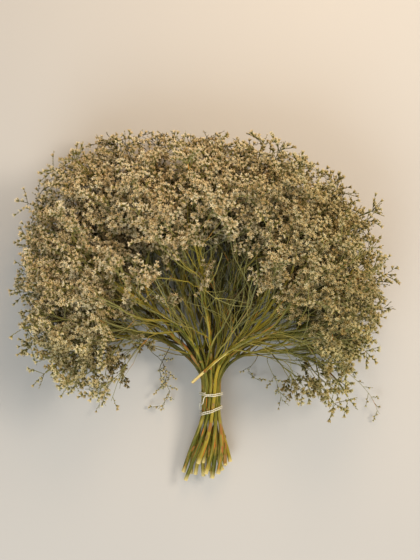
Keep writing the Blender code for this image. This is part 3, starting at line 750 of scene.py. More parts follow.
# The best branch that finds room at a stem's root number n, or None
def bestBranch(grown, n, rng, room, i, covered):
    segment = grown["roots"][n]
    a, b = grown["rings"][segment], grown["rings"][segment + 1]
    share = n / len(grown["roots"])
    length = branch["longest"] + (branch["shortest"] - branch["longest"]) * share
    best, bestScore = None, branch["leastScore"]
    for side in range(stem["sides"]):
        normal = sideNormal(a, b, side, stem["sides"])
        root = (a["at"] + b["at"]) / 2 + normal * a["radius"] * math.cos(math.pi / stem["sides"])
        for angle in branch["anglesDeg"]:
            drawn = length * rng.uniform(*branch["lengthShare"])
            tried = growBranch(root, a["along"], normal, angle, drawn, rng, room, i)
            if tried:
                cells = newCells(tried["blooms"], covered)
                score = len(tried["blooms"]) + branch["cellScore"] * len(cells)
                if score > bestScore:
                    best, bestScore = tried, score
    return best


# The whole plan of the bunch: stems, branches and florets, as rings and places that cross nothing
def layOut():
    rng = random.Random(bunch["seed"])
    room = Room()
    sides = stem["sides"]
    stems = []
    covered = set()

    def addStemSolids():
        room.add(tubePieces(stems[-1]["rings"], sides, ("stem", len(stems) - 1)))

    def addBlooms(blooms, solids):
        room.rims += [bloom["rim"] for bloom in blooms]
        covered.update(newCells(blooms, covered))
        room.add(solids)

    for row, place, across, up in bundlePlaces():
        stems.append(packedStem(row, place, across, up, rng, room))
        addStemSolids()
    stems.append(looseStem(stems, rng, room))
    addStemSolids()
    order = list(range(len(stems)))
    rng.shuffle(order)
    for i in order:
        rings, first = stems[i]["rings"], stems[i]["first"]
        stems[i]["blooms"], solids = dressTube(rings, first, sides, rng, room, i, (("stem", i),))
        addBlooms(stems[i]["blooms"], solids)
    for fromTip in range(max(len(grown["roots"]) for grown in stems)):
        rng.shuffle(order)
        for i in order:
            n = len(stems[i]["roots"]) - 1 - fromTip
            best = bestBranch(stems[i], n, rng, room, i, covered) if n >= 0 else None
            if best:
                stems[i]["branches"].append(best)
                addBlooms(best["blooms"], best["solids"])
                room.add(tubePieces(best["rings"], branch["sides"], i))
    return stems


# A point on the string's way round the hexagon, by the corners passed and the place along the bundle
def aroundBundle(corners, s):
    nearest = math.floor(corners + 0.5)
    hexAngle = math.radians(60 * nearest)
    reach = 2 * bunch["stemPitch"]
    centre = bundlePoint(reach * math.cos(hexAngle), reach * math.sin(hexAngle), s)
    middle = bundlePoint(0, 0, s)
    outward = math.atan2(centre.z - middle.z, centre.x - middle.x)
    turned = outward + math.radians(string["arcDeg"]) * (corners - nearest)
    out = (stem["radius"] + string["gap"] + string["radius"]) / math.cos(math.radians(string["arcDeg"] / 2))
    return centre + Vector((math.cos(turned), 0, math.sin(turned))) * out


# The string's centre line: turns above, a run down the side, turns below and a short loose end
def stringPoints():
    high = string["corners"] / 6 * string["pitch"] / 2
    stretches = (
        (string["upperAt"] + high, string["upperAt"] - high, string["corners"]),
        (string["upperAt"] - high, string["lowerAt"] + high, string["linkCorners"]),
        (string["lowerAt"] + high, string["lowerAt"] - high, string["corners"]),
        (string["lowerAt"] - high, string["lowerAt"] - high - string["tail"], string["tailCorners"]),
    )
    points = []
    passed = string["firstCorner"]
    for top, bottom, count in stretches:
        for k in range(count):
            for side in (-string["bendShare"], string["bendShare"]):
                share = (k + 0.5 + side) / count
                points.append(aroundBundle(passed + k + side, top + (bottom - top) * share))
        passed += count
    return points


planMiddle = Vector((-9.325242 * mm, 105.419816 * mm, 0))  # of the CAD's box, which its frame is centred on
goldenTurn = 2.4  # from one sprig round a twig to the next

# Thin wood. Each pair of radii is at the foot and at the tip
twig = {
    "branchSides": 5,
    "branchRadius": (0.85 * mm, 0.45 * mm),
    "branchKink": 0.25 * mm,
    "kink": 0.3 * mm,
    "boxRoom": 0.8 * mm,  # how far it keeps inside the CAD's box
    "betweenHeads": (7 * mm, (11 * mm, 19 * mm)),  # from one sprig of a branch to the next, and their length
}

# A flower head: sprigs that fan out from one point, each with calyces along it
head = {
    "sprigs": (8, 10),
    "reach": (0.45, 1.12),  # of the CAD floret's radius
    "runners": 0.26,  # share of the sprigs that reach further
    "runnerReach": (1.2, 1.75),
    "dome": 0.3,  # of the floret's depth, how much higher the middle is
    "heightVary": (-0.25, 0.2),
    "bow": (-0.08, 0.16),
    "gone": 0.84,  # share of the heads left out low in the bare fan
}

sprig = {
    "radius": (0.42 * mm, 0.24 * mm),
    "bare": 0.3,  # share of its length without calyces
    "pitch": 2.5 * mm,
    "leanDeg": (28, 62),
    "lift": 0.55,
    "calyx": ((3.9 * mm, 5.7 * mm), (3.9 * mm, 5.8 * mm)),  # least and most width, and length
    "bud": ((0.9 * mm, 1.4 * mm), (2.2 * mm, 3.4 * mm)),
    "budShare": 0.16,
    "rimBuds": 0.4,  # how many more of them are buds at the rim
    "boxRoom": 2.6 * mm,
    "calyxRoom": 0.2 * mm,
    "asideDeg": (32, 62),  # how it leaves a twig
    "asideLift": 0.35,
    "asideBow": (0, 0.15),
}

# Thin shoots that leave the stems: long bare ones low in the fan, short ones that fill the canopy's rim,
# and wands that rise over the fan. slack is how far they may reach outside the canopy's form, and from
# and to are shares of the stem's fanned length
shoots = (
    {
        "perStem": 5, "lowRows": 1.6, "slack": (-12 * mm, -3 * mm), "from": 0.04, "to": 0.6,
        "angleDeg": (8, 36), "upward": 0.45, "length": (90 * mm, 190 * mm), "radius": (1.5 * mm, 0.36 * mm),
        "bare": 0.5, "sprigEvery": 10 * mm, "sprigLong": (12 * mm, 22 * mm),
        "forks": 2, "forkDeg": (12, 34), "forkLong": (40 * mm, 100 * mm),
        "forkRadius": (0.42 * mm, 0.21 * mm),
    },
    {
        "perStem": 7, "lowRows": 1, "slack": (-12 * mm, -3 * mm), "from": 0.5, "to": 0.97,
        "angleDeg": (16, 52), "upward": 0.2, "length": (35 * mm, 90 * mm), "radius": (0.6 * mm, 0.3 * mm),
        "bare": 0.3, "sprigEvery": 7 * mm, "sprigLong": (10 * mm, 19 * mm),
        "forks": 1, "forkDeg": (20, 45), "forkLong": (20 * mm, 40 * mm),
        "forkRadius": (0.32 * mm, 0.16 * mm),
    },
    {
        "perStem": 14, "lowRows": 0, "slack": (-2 * mm, 8 * mm), "from": 0.14, "to": 0.62,
        "angleDeg": (14, 58), "upward": 0.7, "length": (90 * mm, 170 * mm), "radius": (0.52 * mm, 0.26 * mm),
        "bare": 0.74, "sprigEvery": 9 * mm, "sprigLong": (9 * mm, 17 * mm),
        "forks": 3, "forkDeg": (16, 46), "forkLong": (35 * mm, 80 * mm),
        "forkRadius": (0.34 * mm, 0.17 * mm),
    },
)


# A point of the plan, in the scene's frame
def toScene(point):
    return point - planMiddle


# What fromNeck gives, for a point in the scene's frame
def sceneFromNeck(point):
    return fromNeck(point + planMiddle)


def anyTurn(rng):
    return rng.uniform(0, 6.3)


def scatter(rng, up=1):
    return Vector((rng.gauss(0, 1), rng.gauss(0, 1), rng.gauss(0, up)))


# A direction square to another, turned round it
def squareTo(along, turn):
    return Quaternion(along, turn) @ along.orthogonal().normalized()


def taper(first, last, count):
    return [first + (last - first) * k / (count - 1) for k in range(count)]


# A small shape that copies are made from, with the vectors that the materials read
def asShape(bm, name):
    bm.verts.layers.float_vector.new("grainAndShadeDepth")
    bm.verts.layers.float_vector.new("tone")
    mesh = bpy.data.meshes.new(name)
    bm.to_mesh(mesh)
    bm.free()
    return mesh, np.array([v.co for v in mesh.vertices])


# A straight tube of so many rings, made once for each count, that copies are bent from
tubeKinds = {}


def straightTube(sides, count):
    if (sides, count) not in tubeKinds:
        bm = bmesh.new()
        bmesh.ops.create_cone(bm, cap_ends=True, segments=sides, radius1=1, radius2=1, depth=1)
        bmesh.ops.translate(bm, verts=bm.verts, vec=(0, 0, 0.5))
        end = next(f for f in bm.faces if f.normal.z > 0.9)
        for k in range(count - 2):
            end = bmesh.ops.extrude_discrete_faces(bm, faces=[end])["faces"][0]
            bmesh.ops.translate(bm, verts=end.verts, vec=(0, 0, 1))
        tubeKinds[sides, count] = asShape(bm, "straightTube")
    return tubeKinds[sides, count]


# Adds a copy of a shape to a piece, with its places and the two vectors that its material reads
def addCopy(bm, mesh, co, tones, grainAndShadeDepth):
    mesh.vertices.foreach_set("co", co.ravel())
    mesh.attributes["tone"].data.foreach_set("vector", tones.ravel())
    mesh.attributes["grainAndShadeDepth"].data.foreach_set("vector", grainAndShadeDepth.ravel())
    bm.from_mesh(mesh)


# Adds a tube along a path to a piece. Its tone is (at its foot, at its tip, chance)
def addTube(bm, points, radii, sides, tone, startAt=0.0):
    mesh, corners = straightTube(sides, len(points))
    rings = ringsAlong(points, radii, Vector((0.3, 0.2, 1)))
    at = np.array([r["at"] for r in rings])
    across = np.array([r["across"] for r in rings])
    other = np.array([r["along"].cross(r["across"]) for r in rings])
    radius = np.array([r["radius"] for r in rings])
    run = startAt + np.concatenate([[0], np.cumsum(np.linalg.norm(np.diff(at, axis=0), axis=1))])
    ring = np.rint(corners[:, 2]).astype(int)
    x, y = corners[:, 0:1], corners[:, 1:2]
    co = at[ring] + (across[ring] * x + other[ring] * y) * radius[ring][:, None]
    share = ring / max(1, len(points) - 1) * (tone[1] - tone[0]) + tone[0]
    tones = np.column_stack([share, np.full(len(ring), tone[2]), radius[ring] / (2 * mm)])
    addCopy(bm, mesh, co, tones, np.column_stack([x * radii[0], y * radii[0], run[ring]]))


# Adds a twig to a spray: its radii at both ends, and its tones at both ends
def addTwig(spray, way, radii, sides, tones, rng):
    radii = taper(*radii, len(way))
    addTube(spray["twigs"], way, radii, sides, (*tones, rng.random()), rng.uniform(0, 4))


# A papery calyx of five lobes: a star-shaped funnel, closed, one long and one wide
def calyxShape():
    bm = bmesh.new()
    bmesh.ops.create_cone(bm, cap_ends=True, segments=10, radius1=0, radius2=0.5, depth=1)
    bmesh.ops.remove_doubles(bm, verts=bm.verts, dist=1e-6)
    bmesh.ops.translate(bm, verts=bm.verts, vec=(0, 0, 0.5))
    mouth = max(bm.faces, key=lambda f: len(f.verts))
    notches = list(mouth.verts)[1::2]
    for v in notches:
        v.co.x *= 0.4
        v.co.y *= 0.4
        v.co.z -= 0.16
    middle = bmesh.ops.poke(bm, faces=[mouth])["verts"][0]
    middle.co.z -= 0.42
    bmesh.ops.recalc_face_normals(bm, faces=bm.faces)
    return asShape(bm, "calyx")


# A closed bud, or a dry scale that hugs the stem at a node: a ball on its foot, flattened and folded
def ballShape(name, segments, rings, flat, fold):
    bm = bmesh.new()
    bmesh.ops.create_uvsphere(bm, u_segments=segments, v_segments=rings, radius=0.5)
    for v in bm.verts:
        v.co.z += 0.5
        v.co.y = v.co.y * flat - fold * v.co.x**2
    bmesh.ops.recalc_face_normals(bm, faces=bm.faces)
    return asShape(bm, name)


# Adds a copy of a small shape from its foot. Its tone is (chance of its own, chance of its sprig)
def addShape(bm, shape, foot, turned, size, tone, grainAndShadeDepth):
    mesh, corners = shape
    co = (corners * size) @ np.array(turned).T + np.array(foot)
    tones = np.column_stack([corners[:, 2], np.full((len(corners), 2), tone)])
    addCopy(bm, mesh, co, tones, grainAndShadeDepth)


# Adds a dry scale with its back away from the stem
def addScale(spray, foot, way, out, size, rng):
    aside = way.cross(out).normalized()
    turned = Matrix((aside, way.cross(aside), way)).transposed()
    chance = rng.random()
    grainAndShadeDepth = spray["scale"][1] * size + (0, 0, chance * 4)
    addShape(spray["scales"], spray["scale"], foot, turned, size, (chance, 0.5), grainAndShadeDepth)


def asPiece(bm, name, material, node):
    mesh = bpy.data.meshes.new(name)
    bm.to_mesh(mesh)
    bm.free()
    mesh.shade_smooth()
    mesh.set_sharp_from_angle(angle=math.radians(40))
    mesh.materials.append(material)
    piece = bpy.data.objects.new(name, mesh)
    bpy.context.scene.collection.objects.link(piece)
    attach(piece, "root")
    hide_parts(node)


# A twig's way, with the small kinks that twigs have at their nodes
def kinked(points, rng, size=twig["kink"]):
    return [points[0].copy()] + [p + scatter(rng) * size for p in points[1:-1]] + [points[-1].copy()]


# How far from the neck's middle the sprigs start, by angle, so that the stems show below them
bareFan = inMm(
    (-115, 96), (-80, 102), (-60, 138), (-42, 170), (-20, 176), (5, 178), (22, 156), (34, 126), (48, 134),
    (62, 148), (75, 122), (110, 56),
)

# How far from the neck's middle the canopy reaches
rimOutline = inMm(
    (-120, 40), (-104, 60), (-96, 123), (-88, 182), (-72, 213), (-56, 256), (-40, 294), (-30, 307),
    (-22, 307), (-12, 293), (0, 284), (16, 276), (32, 268), (42, 255), (54, 222), (64, 212), (74, 178),
    (82, 152), (90, 150), (98, 118), (104, 84), (112, 30),
)

# Share of the sprigs left out, by angle: the canopy is airier at its right and at its lower left
airiness = (
    (-120, 0.55), (-98, 0.5), (-84, 0.38), (-66, 0.06), (-50, 0.0), (0, 0.0), (30, 0.14), (55, 0.36),
    (75, 0.56), (120, 0.62),
)


def airy(point):
    return between(airiness, sceneFromNeck(point)[1])


# How likely a sprig that ends at a point is to be left out, from 1 low in the bare fan to 0 beyond it
def bareness(point):
    distance, angle = sceneFromNeck(point)
    return 1 - level((distance / between(bareFan, angle) - 0.8) / 0.34)


def rimShare(point):
    distance, angle = sceneFromNeck(point)
    return distance / between(rimOutline, angle)


def beyondRim(point):
    return rimShare(point) > 1


# How deep a point lies under the canopy's form, less so towards the rim, where light comes in from aside.
# Calyces are darkened by it as painted shade
def depthBelow(point):
    share = rimShare(point)
    return (domeHeight(min(1, share)) - point.z) * level((1 - share) / 0.3)


# Keeps a point of a sprig far enough inside the CAD's box for the calyces round it
def inBox(p, room=sprig["boxRoom"]):
    return Vector([min(max(p[i], cadBox[0][i] + room), cadBox[1][i] - room) for i in range(3)])


def fitsBox(at, way, wide, long):
    room = sprig["calyxRoom"]
    for i in range(3):
        tip = at[i] + way[i] * long
        rim = wide / 2 * math.sqrt(max(0.0, 1 - way[i] ** 2))
        if min(at[i], tip - rim) < cadBox[0][i] + room or max(at[i], tip + rim) > cadBox[1][i] - room:
            return False
    return True


# A point of a curve from start to end that bends towards its knee
def bentPoint(start, knee, end, t):
    return start * (1 - t) ** 2 + knee * 2 * t * (1 - t) + end * t * t


def bentWay(start, knee, end, count):
    return [bentPoint(start, knee, end, k / (count - 1)) for k in range(count)]


# A sprig: a thin curved twig whose calyces stand in two ranks along its outer part. A stray one is small,
# has no painted shade, and is always there
def addSprig(spray, start, end, up, bow, rng, always=False, stray=False):
    end = inBox(end)
    run = end - start
    length = run.length
    thinned = max(bareness(end), 0.7 * beyondRim(end), airy(end))
    if length < 4 * mm or (not always and rng.random() < thinned):
        return
    knee = inBox(start.lerp(end, 0.5) + up * length * bow)
    addTwig(spray, bentWay(start, knee, end, 4), sprig["radius"], 3, (0.7, 1.0), rng)
    across = run.cross(up).normalized() if run.cross(up).length > 1e-9 else run.orthogonal().normalized()
    bare = sprig["bare"]
    count = max(2, round(length * (1 - bare) / sprig["pitch"]))
    shade = rng.random()
    size = strayLook["size"] if stray else 1.0
    # How deep the sprig's end lies under the canopy, for the calyces' painted shade; strays get none
    paintedDeepShade = 0.0 if stray else depthBelow(end)
    buds = sprig["budShare"] + sprig["rimBuds"] * level((rimShare(end) - 0.9) / 0.1)
    for n in range(count + 1):
        t = bare + (1 - bare) * n / count
        at = bentPoint(start, knee, end, t)
        along = (knee * (1 - t) + end * t - start * (1 - t) - knee * t).normalized()
        if n == count:
            way = (along + up * 0.3).normalized()
        else:
            lean = rng.uniform(*sprig["leanDeg"])
            aside = across * (1 if n % 2 else -1) * rng.uniform(0.5, 1.1)
            aside += up * rng.uniform(0.2, 1.2) * 2 * sprig["lift"]
            way = leaning(along, aside.normalized(), lean).normalized()
        kind = "bud" if rng.random() < buds else "calyx"
        wide, long = (rng.uniform(*extent) * size for extent in sprig[kind])
        if not fitsBox(at, way, wide, long):
            continue
        spin = way.to_track_quat("Z", "Y").to_matrix() @ Matrix.Rotation(anyTurn(rng), 3, "Z")
        # The attribute carries that depth for the painted shade
        grainAndShadeDepth = np.full(spray[kind][1].size, paintedDeepShade / (100 * mm))
        addShape(spray["flowers"], spray[kind], at, spin, (wide, wide, long), (rng.random(), shade), grainAndShadeDepth)
        spray["placed"].append((at.x, at.y))


# The head of one CAD floret: sprigs that fan out through its funnel to its rim and a little beyond
def addHead(spray, bloom, rng):
    foot, axis, centre = toScene(bloom["foot"]), bloom["axis"], toScene(bloom["rim"])
    if rng.random() < bareness(centre) * head["gone"]:
        return
    square = axis.orthogonal().normalized()
    other = axis.cross(square)
    count = rng.randint(*head["sprigs"])
    first = anyTurn(rng)
    for n in range(count):
        angle = first + goldenTurn * n + rng.gauss(0, 0.25)
        reach = math.sqrt((n + 0.5) / count) * head["reach"][1]
        if rng.random() < head["runners"]:
            reach = rng.uniform(*head["runnerReach"])
        reach = max(reach, head["reach"][0]) * bloom["radius"]
        out = square * math.cos(angle) + other * math.sin(angle)
        share = min(1.0, reach / bloom["radius"])
        height = bloom["depth"] * (head["dome"] * (1 - share * share) + rng.uniform(*head["heightVary"]))
        start = foot.lerp(centre, rng.uniform(0, 0.3))
        end = centre + out * reach + axis * height
        if rng.random() > max(airy(end), 0.6 * beyondRim(end)):
            addSprig(spray, start, end, axis, rng.uniform(*head["bow"]), rng, True)


# Sprigs along a twig, beyond a share of its length
def addSideSprigs(spray, way, fromShare, every, long, rng, stray=False):
    lengths = [0.0]
    for a, b in zip(way, way[1:]):
        lengths.append(lengths[-1] + (b - a).length)
    at = lengths[-1] * fromShare
    turn = anyTurn(rng)
    while at < lengths[-1]:
        i = max(k for k in range(len(way) - 1) if lengths[k] <= at)
        along = (way[i + 1] - way[i]).normalized()
        start = way[i].lerp(way[i + 1], (at - lengths[i]) / (lengths[i + 1] - lengths[i]))
        turn += goldenTurn
        out = squareTo(along, turn)
        out.z += sprig["asideLift"]
        direction = leaning(along, out.normalized(), rng.uniform(*sprig["asideDeg"])).normalized()
        end = start + direction * rng.uniform(*long)
        addSprig(spray, start, end, Vector((0, 0, 1)), rng.uniform(*sprig["asideBow"]), rng, stray, stray)
        at += every * rng.uniform(0.7, 1.3)


wander = {
    "stepMm": 4,
    "outward": 0.06,  # how strongly it turns outwards at each step
    "drift": 0.035,
    "bend": 0.022,
    "least": 5 * mm,
    "most": (36 * mm, 0.75),  # its greatest height at the neck, and how that grows with the distance
    "slide": 2.5 * mm,
}


# A shoot's way: it drifts outwards with the fan and slides along under the canopy's form
def shootPath(start, along, length, slack, rng):
    path = [start.copy()]
    direction = along.copy()
    drift = scatter(rng, 0.6).normalized()
    bent = Vector()
    for k in range(int(length / (wander["stepMm"] * mm))):
        here = path[-1]
        outward = Vector((here.x, here.y - bunch["neckAbove"], 0.12 * fromNeck(here)[0])).normalized()
        bent = bent * 0.9 + scatter(rng, 0.6) * wander["bend"]
        direction = (direction + outward * wander["outward"] + drift * wander["drift"] + bent).normalized()
        after = here + direction * wander["stepMm"] * mm
        most = wander["most"][0] + wander["most"][1] * fromNeck(after)[0]
        after.z = min(max(after.z, wander["least"]), most)
        for slide in range(3):
            if not insideCanopy(after, slack):
                after.z -= wander["slide"]
        if not insideCanopy(after, slack):
            break
        direction = (after - here).normalized()
        path.append(after)
    return path


# Adds a twig along a path of the plan, with sprigs along its outer part
def addShoot(spray, path, radius, sides, tones, bare, values, rng):
    way = [inBox(toScene(p), twig["boxRoom"]) for p in path]
    way = [way[0]] + kinked(way[1::2], rng)
    addTwig(spray, way, radius, sides, tones, rng)
    addSideSprigs(spray, way, bare, values["sprigEvery"], values["sprigLong"], rng)
    return way


def addShoots(spray, grown, values, rng):
    fanned = pathLength(grown["path"]) - grown["neck"]
    count = round(values["perStem"] * (values["lowRows"] if grown["row"] < 2 else 1))
    for n in range(count):
        share = values["from"] + (values["to"] - values["from"]) * (n + rng.random()) / count
        start, along = alongPath(grown["path"], grown["neck"] + fanned * share)
        aside = squareTo(along, anyTurn(rng))
        if rng.random() < values["upward"]:
            aside = (Vector((rng.gauss(0, 0.3), rng.gauss(0, 0.3), 1)) - along * along.z).normalized()
        direction = leaning(along, aside, rng.uniform(*values["angleDeg"]))
        slack = rng.uniform(*values["slack"])
        path = shootPath(start, direction, rng.uniform(*values["length"]), slack, rng)
        if len(path) < 5:
            continue
        way = addShoot(spray, path, values["radius"], 4, (0.3, 0.9), values["bare"], values, rng)
        spray["ways"].append(way)
        for fork in range(values["forks"]):
            k = rng.randrange(len(path) // 6, max(len(path) // 6 + 1, len(path) * 2 // 3))
            leaving = (path[k + 1] - path[k]).normalized()
            aside = squareTo(leaving, anyTurn(rng))
            direction = leaning(leaving, aside, rng.uniform(*values["forkDeg"]))
            forked = shootPath(path[k], direction, rng.uniform(*values["forkLong"]), slack, rng)
            if len(forked) >= 4:
                addShoot(spray, forked, values["forkRadius"], 3, (0.5, 1.0), 0.5, values, rng)


# A node material in the making. What goes into a socket is a value, a colour or another node's output
class NodeMaterial:

    def __init__(self, name, roughness):
        self.material = bpy.data.materials.new(name)
        self.material.use_nodes = True
        self.shader = self.material.node_tree.nodes["Principled BSDF"]
        self.put(self.shader, {"Roughness": roughness})

    def put(self, node, inputs):
        for name, value in inputs.items():
            socket = node.inputs[name]
            if isinstance(value, bpy.types.NodeSocket):
                self.material.node_tree.links.new(value, socket)
            else:
                socket.default_value = (*value, 1) if socket.type == "RGBA" else value

    def add(self, kind, output, inputs, **settings):
        node = self.material.node_tree.nodes.new("ShaderNode" + kind)
        for name, value in settings.items():
            setattr(node, name, value)
        self.put(node, inputs)
        return node.outputs[output]

    def where(self):
        return self.add("TexCoord", "Object", {})

    def attribute(self, name, output="Vector"):
        return self.add("Attribute", output, {}, attribute_name=name)

    def axis(self, name, vector):
        return self.add("SeparateXYZ", name, {"Vector": vector})

    def mix(self, factor, low, high, blend="MIX"):
        return self.add("Mix", 2, {0: factor, 6: low, 7: high}, data_type="RGBA", blend_type=blend)

    def darkened(self, factor, colour, by):
        return self.mix(factor, colour, by, "MULTIPLY")

    def ramp(self, factor, low, high):
        return self.add("MapRange", "Result", {"Value": factor, "From Min": low, "From Max": high})

    def noise(self, vector, scale, detail=2.0):
        return self.add("TexNoise", "Fac", {"Vector": vector, "Scale": scale, "Detail": detail})

    def bump(self, height, distance, strength=1.0):
        inputs = {"Height": height, "Distance": distance, "Strength": strength}
        self.put(self.shader, {"Normal": self.add("Bump", "Normal", inputs)})


bark = {
    "green": (0.085, 0.10, 0.009),
    "olive": (0.31, 0.245, 0.022),
    "straw": (0.60, 0.45, 0.085),
    "rust": (0.50, 0.17, 0.025),
    "tip": (0.225, 0.225, 0.088),
    "cut": (0.72, 0.60, 0.25),
    "husk": (0.34, 0.13, 0.03),
    "paintedRowShading": (0.17, 0.26, 0.48, 0.88, 1.25, 1.3),  # painted shade and light: above the string the lower rows of stems are darker, as if shaded, and the top rows lighter
    "specular": 0.2,
}


# Bark of a stem and its twigs: green to straw, with streaks along the stem and rust patches, and above the
# string painted shade on the lower rows and painted light on the top rows
def barkMaterial(name, offset, straw=0.0, rust=0.0, paintedShading=1.0):
    look = NodeMaterial(name, 0.52)
    where, grainAndShadeDepth, tone = look.where(), look.attribute("grainAndShadeDepth"), look.attribute("tone")
    along, chance = look.axis("X", tone), look.axis("Y", tone)
    shifted = look.add("Mapping", "Vector", {"Location": (offset, 0.37 * offset, 0), "Vector": where})
    broad = look.noise(shifted, 30)
    streak = look.noise(look.add("Mapping", "Vector", {"Scale": (1, 1, 0.05), "Vector": grainAndShadeDepth}), 1400, 3)
    patch = look.noise(look.add("Mapping", "Vector", {"Scale": (1, 1, 0.07), "Vector": grainAndShadeDepth}), 420, 3)
    colour = look.mix(look.ramp(chance, 0.2, 0.8), bark["green"], bark["olive"])
    colour = look.mix(look.ramp(broad, 0.52, 0.82), colour, bark["straw"])
    if straw:
        colour = look.mix(look.ramp(along, 0.4 * straw, 0.3 * straw), colour, bark["cut"])
    colour = look.mix(look.ramp(streak, 0.5, 0.86), colour, bark["straw"])
    colour = look.mix(look.ramp(along, 0.4, 0.8), colour, bark["tip"])
    rusty = bark["husk"] if rust else bark["rust"]
    colour = look.mix(look.ramp(patch, 0.61 - 0.28 * rust, 0.68 - 0.08 * rust), colour, rusty)
    if not straw and not rust:
        colour = look.mix(look.ramp(along, 0.014, 0.0), colour, bark["cut"])
    # Painted shade and light: only the part above the string is darker, and there what lies inside the fan or
    # higher up in it; lower rows are darkened as if shaded, the top rows lightened
    across, up = look.axis("X", where), look.axis("Y", where)
    inner = look.ramp(look.add("Math", "Value", {0: across}, operation="ABSOLUTE"), 0.08, 0.045)
    paintedShadeArea = look.add("Math", "Value", {0: inner, 1: look.ramp(up, -0.035, 0.02)}, operation="MAXIMUM")
    above = look.add("Math", "Value", {0: look.ramp(up, -0.105, -0.055), 1: paintedShadeArea}, operation="MULTIPLY")
    # Painted shade and light: the colour is multiplied by the row's shading in that area
    colour = look.darkened(above, colour, (paintedShading, paintedShading, paintedShading))
    look.put(look.shader, {"Base Color": colour, "Specular IOR Level": bark["specular"]})
    look.bump(streak, 0.0003, 0.5)
    return look.material


petal = {
    "cream": (0.88, 0.71, 0.43),
    "pale": (1.0, 0.92, 0.70),
    "tan": (0.52, 0.35, 0.15),
    "foot": (0.15, 0.138, 0.02),
    "paintedDeepShade": (0.22, 0.19, 0.11),  # painted shade: what the colour is multiplied by deep in the canopy, where shade falls
    "right": (0.76, 0.76, 0.63),  # and towards the right, which is greener
    "low": (0.97, 0.98, 0.86),  # and towards the lower rim
    "specular": 0.2,
}


def petalMaterial(name):
    look = NodeMaterial(name, 0.8)
    where, tone = look.where(), look.attribute("tone")
    colour = look.mix(look.axis("Y", tone), petal["cream"], petal["pale"])
    colour = look.mix(look.ramp(look.axis("Z", tone), 0.62, 1.15), colour, petal["tan"])
    colour = look.mix(look.ramp(look.noise(where, 22), 0.5, 0.95), colour, petal["tan"])
    colour = look.mix(look.ramp(look.axis("X", tone), 0.42, 0.95), petal["foot"], colour)
    # Painted shade: calyces deep under the canopy are darkened
    colour = look.darkened(look.ramp(look.attribute("grainAndShadeDepth", "Fac"), 0.22, 0.9), colour, petal["paintedDeepShade"])
    colour = look.darkened(look.ramp(look.axis("X", where), 0.0, 0.16), colour, petal["right"])
    colour = look.darkened(look.ramp(look.axis("Y", where), 0.03, -0.05), colour, petal["low"])
    look.put(look.shader, {"Base Color": colour, "Specular IOR Level": petal["specular"]})
    return look.material


cotton = {
    "colour": (0.95, 0.93, 0.78),
    "shadow": 0.72,  # of the colour, between its fibres
    "radius": 0.66 * mm,
    "plyOut": 0.42,  # of the radius, how far a ply's middle is from the string's
    "plyRadius": 0.56,
    "lay": 5.2 * mm,  # of the twist of its two plies
    # How much its turns slope across the neck, by where they are along it
    "tilt": (
        (-60 * mm, 0.0), (-24 * mm, 0.05), (-11 * mm, 0.3), (-8 * mm, 0.3), (6 * mm, 0.04), (20 * mm, 0.04),
    ),
}


def buildString():
    bm = bmesh.new()
    points = stringPoints()
    for p in points:
        p.y += between(cotton["tilt"], p.y) * p.x
    way = smoothWay([toScene(p) for p in points], 0.7 * mm)
    rings = ringsAlong(way, [1] * len(way), Vector((0, 1, 0)))
    for ply in range(2):
        points, run = [], 0.0
        for k, ring in enumerate(rings):
            if k:
                run += (ring["at"] - rings[k - 1]["at"]).length
            turn = 2 * math.pi * run / cotton["lay"] + math.pi * ply
            points.append(ring["at"] + roundRing(ring, turn) * cotton["radius"] * cotton["plyOut"])
        radii = [cotton["radius"] * cotton["plyRadius"]] * len(points)
        addTube(bm, points, radii, 6, (0, 1, 0.5 * ply))
    look = NodeMaterial("cottonString", 0.9)
    fibre = look.noise(look.attribute("grainAndShadeDepth"), 2600, 3)
    shadow = tuple(c * cotton["shadow"] for c in cotton["colour"])
    look.put(look.shader, {"Base Color": look.mix(look.ramp(fibre, 0.3, 0.8), shadow, cotton["colour"])})
    look.bump(fibre, 0.0002)
    asPiece(bm, "cotton_string", look.material, "tie_string")


def buildSprays():
    stems = layOut()
    bud, scale = ballShape("bud", 4, 2, 1, 0), ballShape("scale", 6, 4, 0.34, 0.35)
    shapes = {"calyx": calyxShape(), "bud": bud, "scale": scale}
    petals, dry = petalMaterial("paperyCalyx"), barkMaterial("dryScale", 7.7, 0.2, 1.0)
    rows = [row for row, count in enumerate(bunch["rowCounts"]) for n in range(count)] + [5]
    sprays, placed = [], []
    for number, grown in enumerate(stems):
        rng = random.Random(100 + number)
        grown["row"] = rows[number]
        pieces = {name: bmesh.new() for name in ("twigs", "flowers", "scales")}
        spray = {"placed": placed, "ways": [], **pieces, **shapes}
        addStem(spray, grown, rng)
        for limb in grown["branches"]:
            addBranch(spray, grown, limb, rng)
        for bloom in grown["blooms"]:
            addHead(spray, bloom, rng)
        for values in shoots:
            addShoots(spray, grown, values, rng)
        addScales(spray, grown, rng)
        sprays.append(spray)
    print("sprays:", len(stems), "calyces and buds:", len(placed))
    fillCanopy(sprays, placed, random.Random(7))
    addStrays(sprays, random.Random(8))
    addSheaths(sprays, stems, random.Random(9))
    for number, spray in enumerate(sprays):
        row = rows[number]
        onTop = row == 5
        short = "loose_on_top" if onTop else f"row{row + 1}_{number - rows.index(row) + 1}"
        # The row's painted shade (lower rows) and painted light (top rows) for its stem bark
        straw, paintedRowShading = 0.8 if onTop else 0.0, bark["paintedRowShading"][row]
        wood = barkMaterial("bark_" + short, 3.1 * number, straw, 0.0, paintedRowShading)
        for name, material in (("twigs", wood), ("flowers", petals), ("scales", dry)):
            asPiece(spray[name], f"{name}_{short}", material, "spray_" + short)
    print("calyces and buds with the filling:", len(placed))


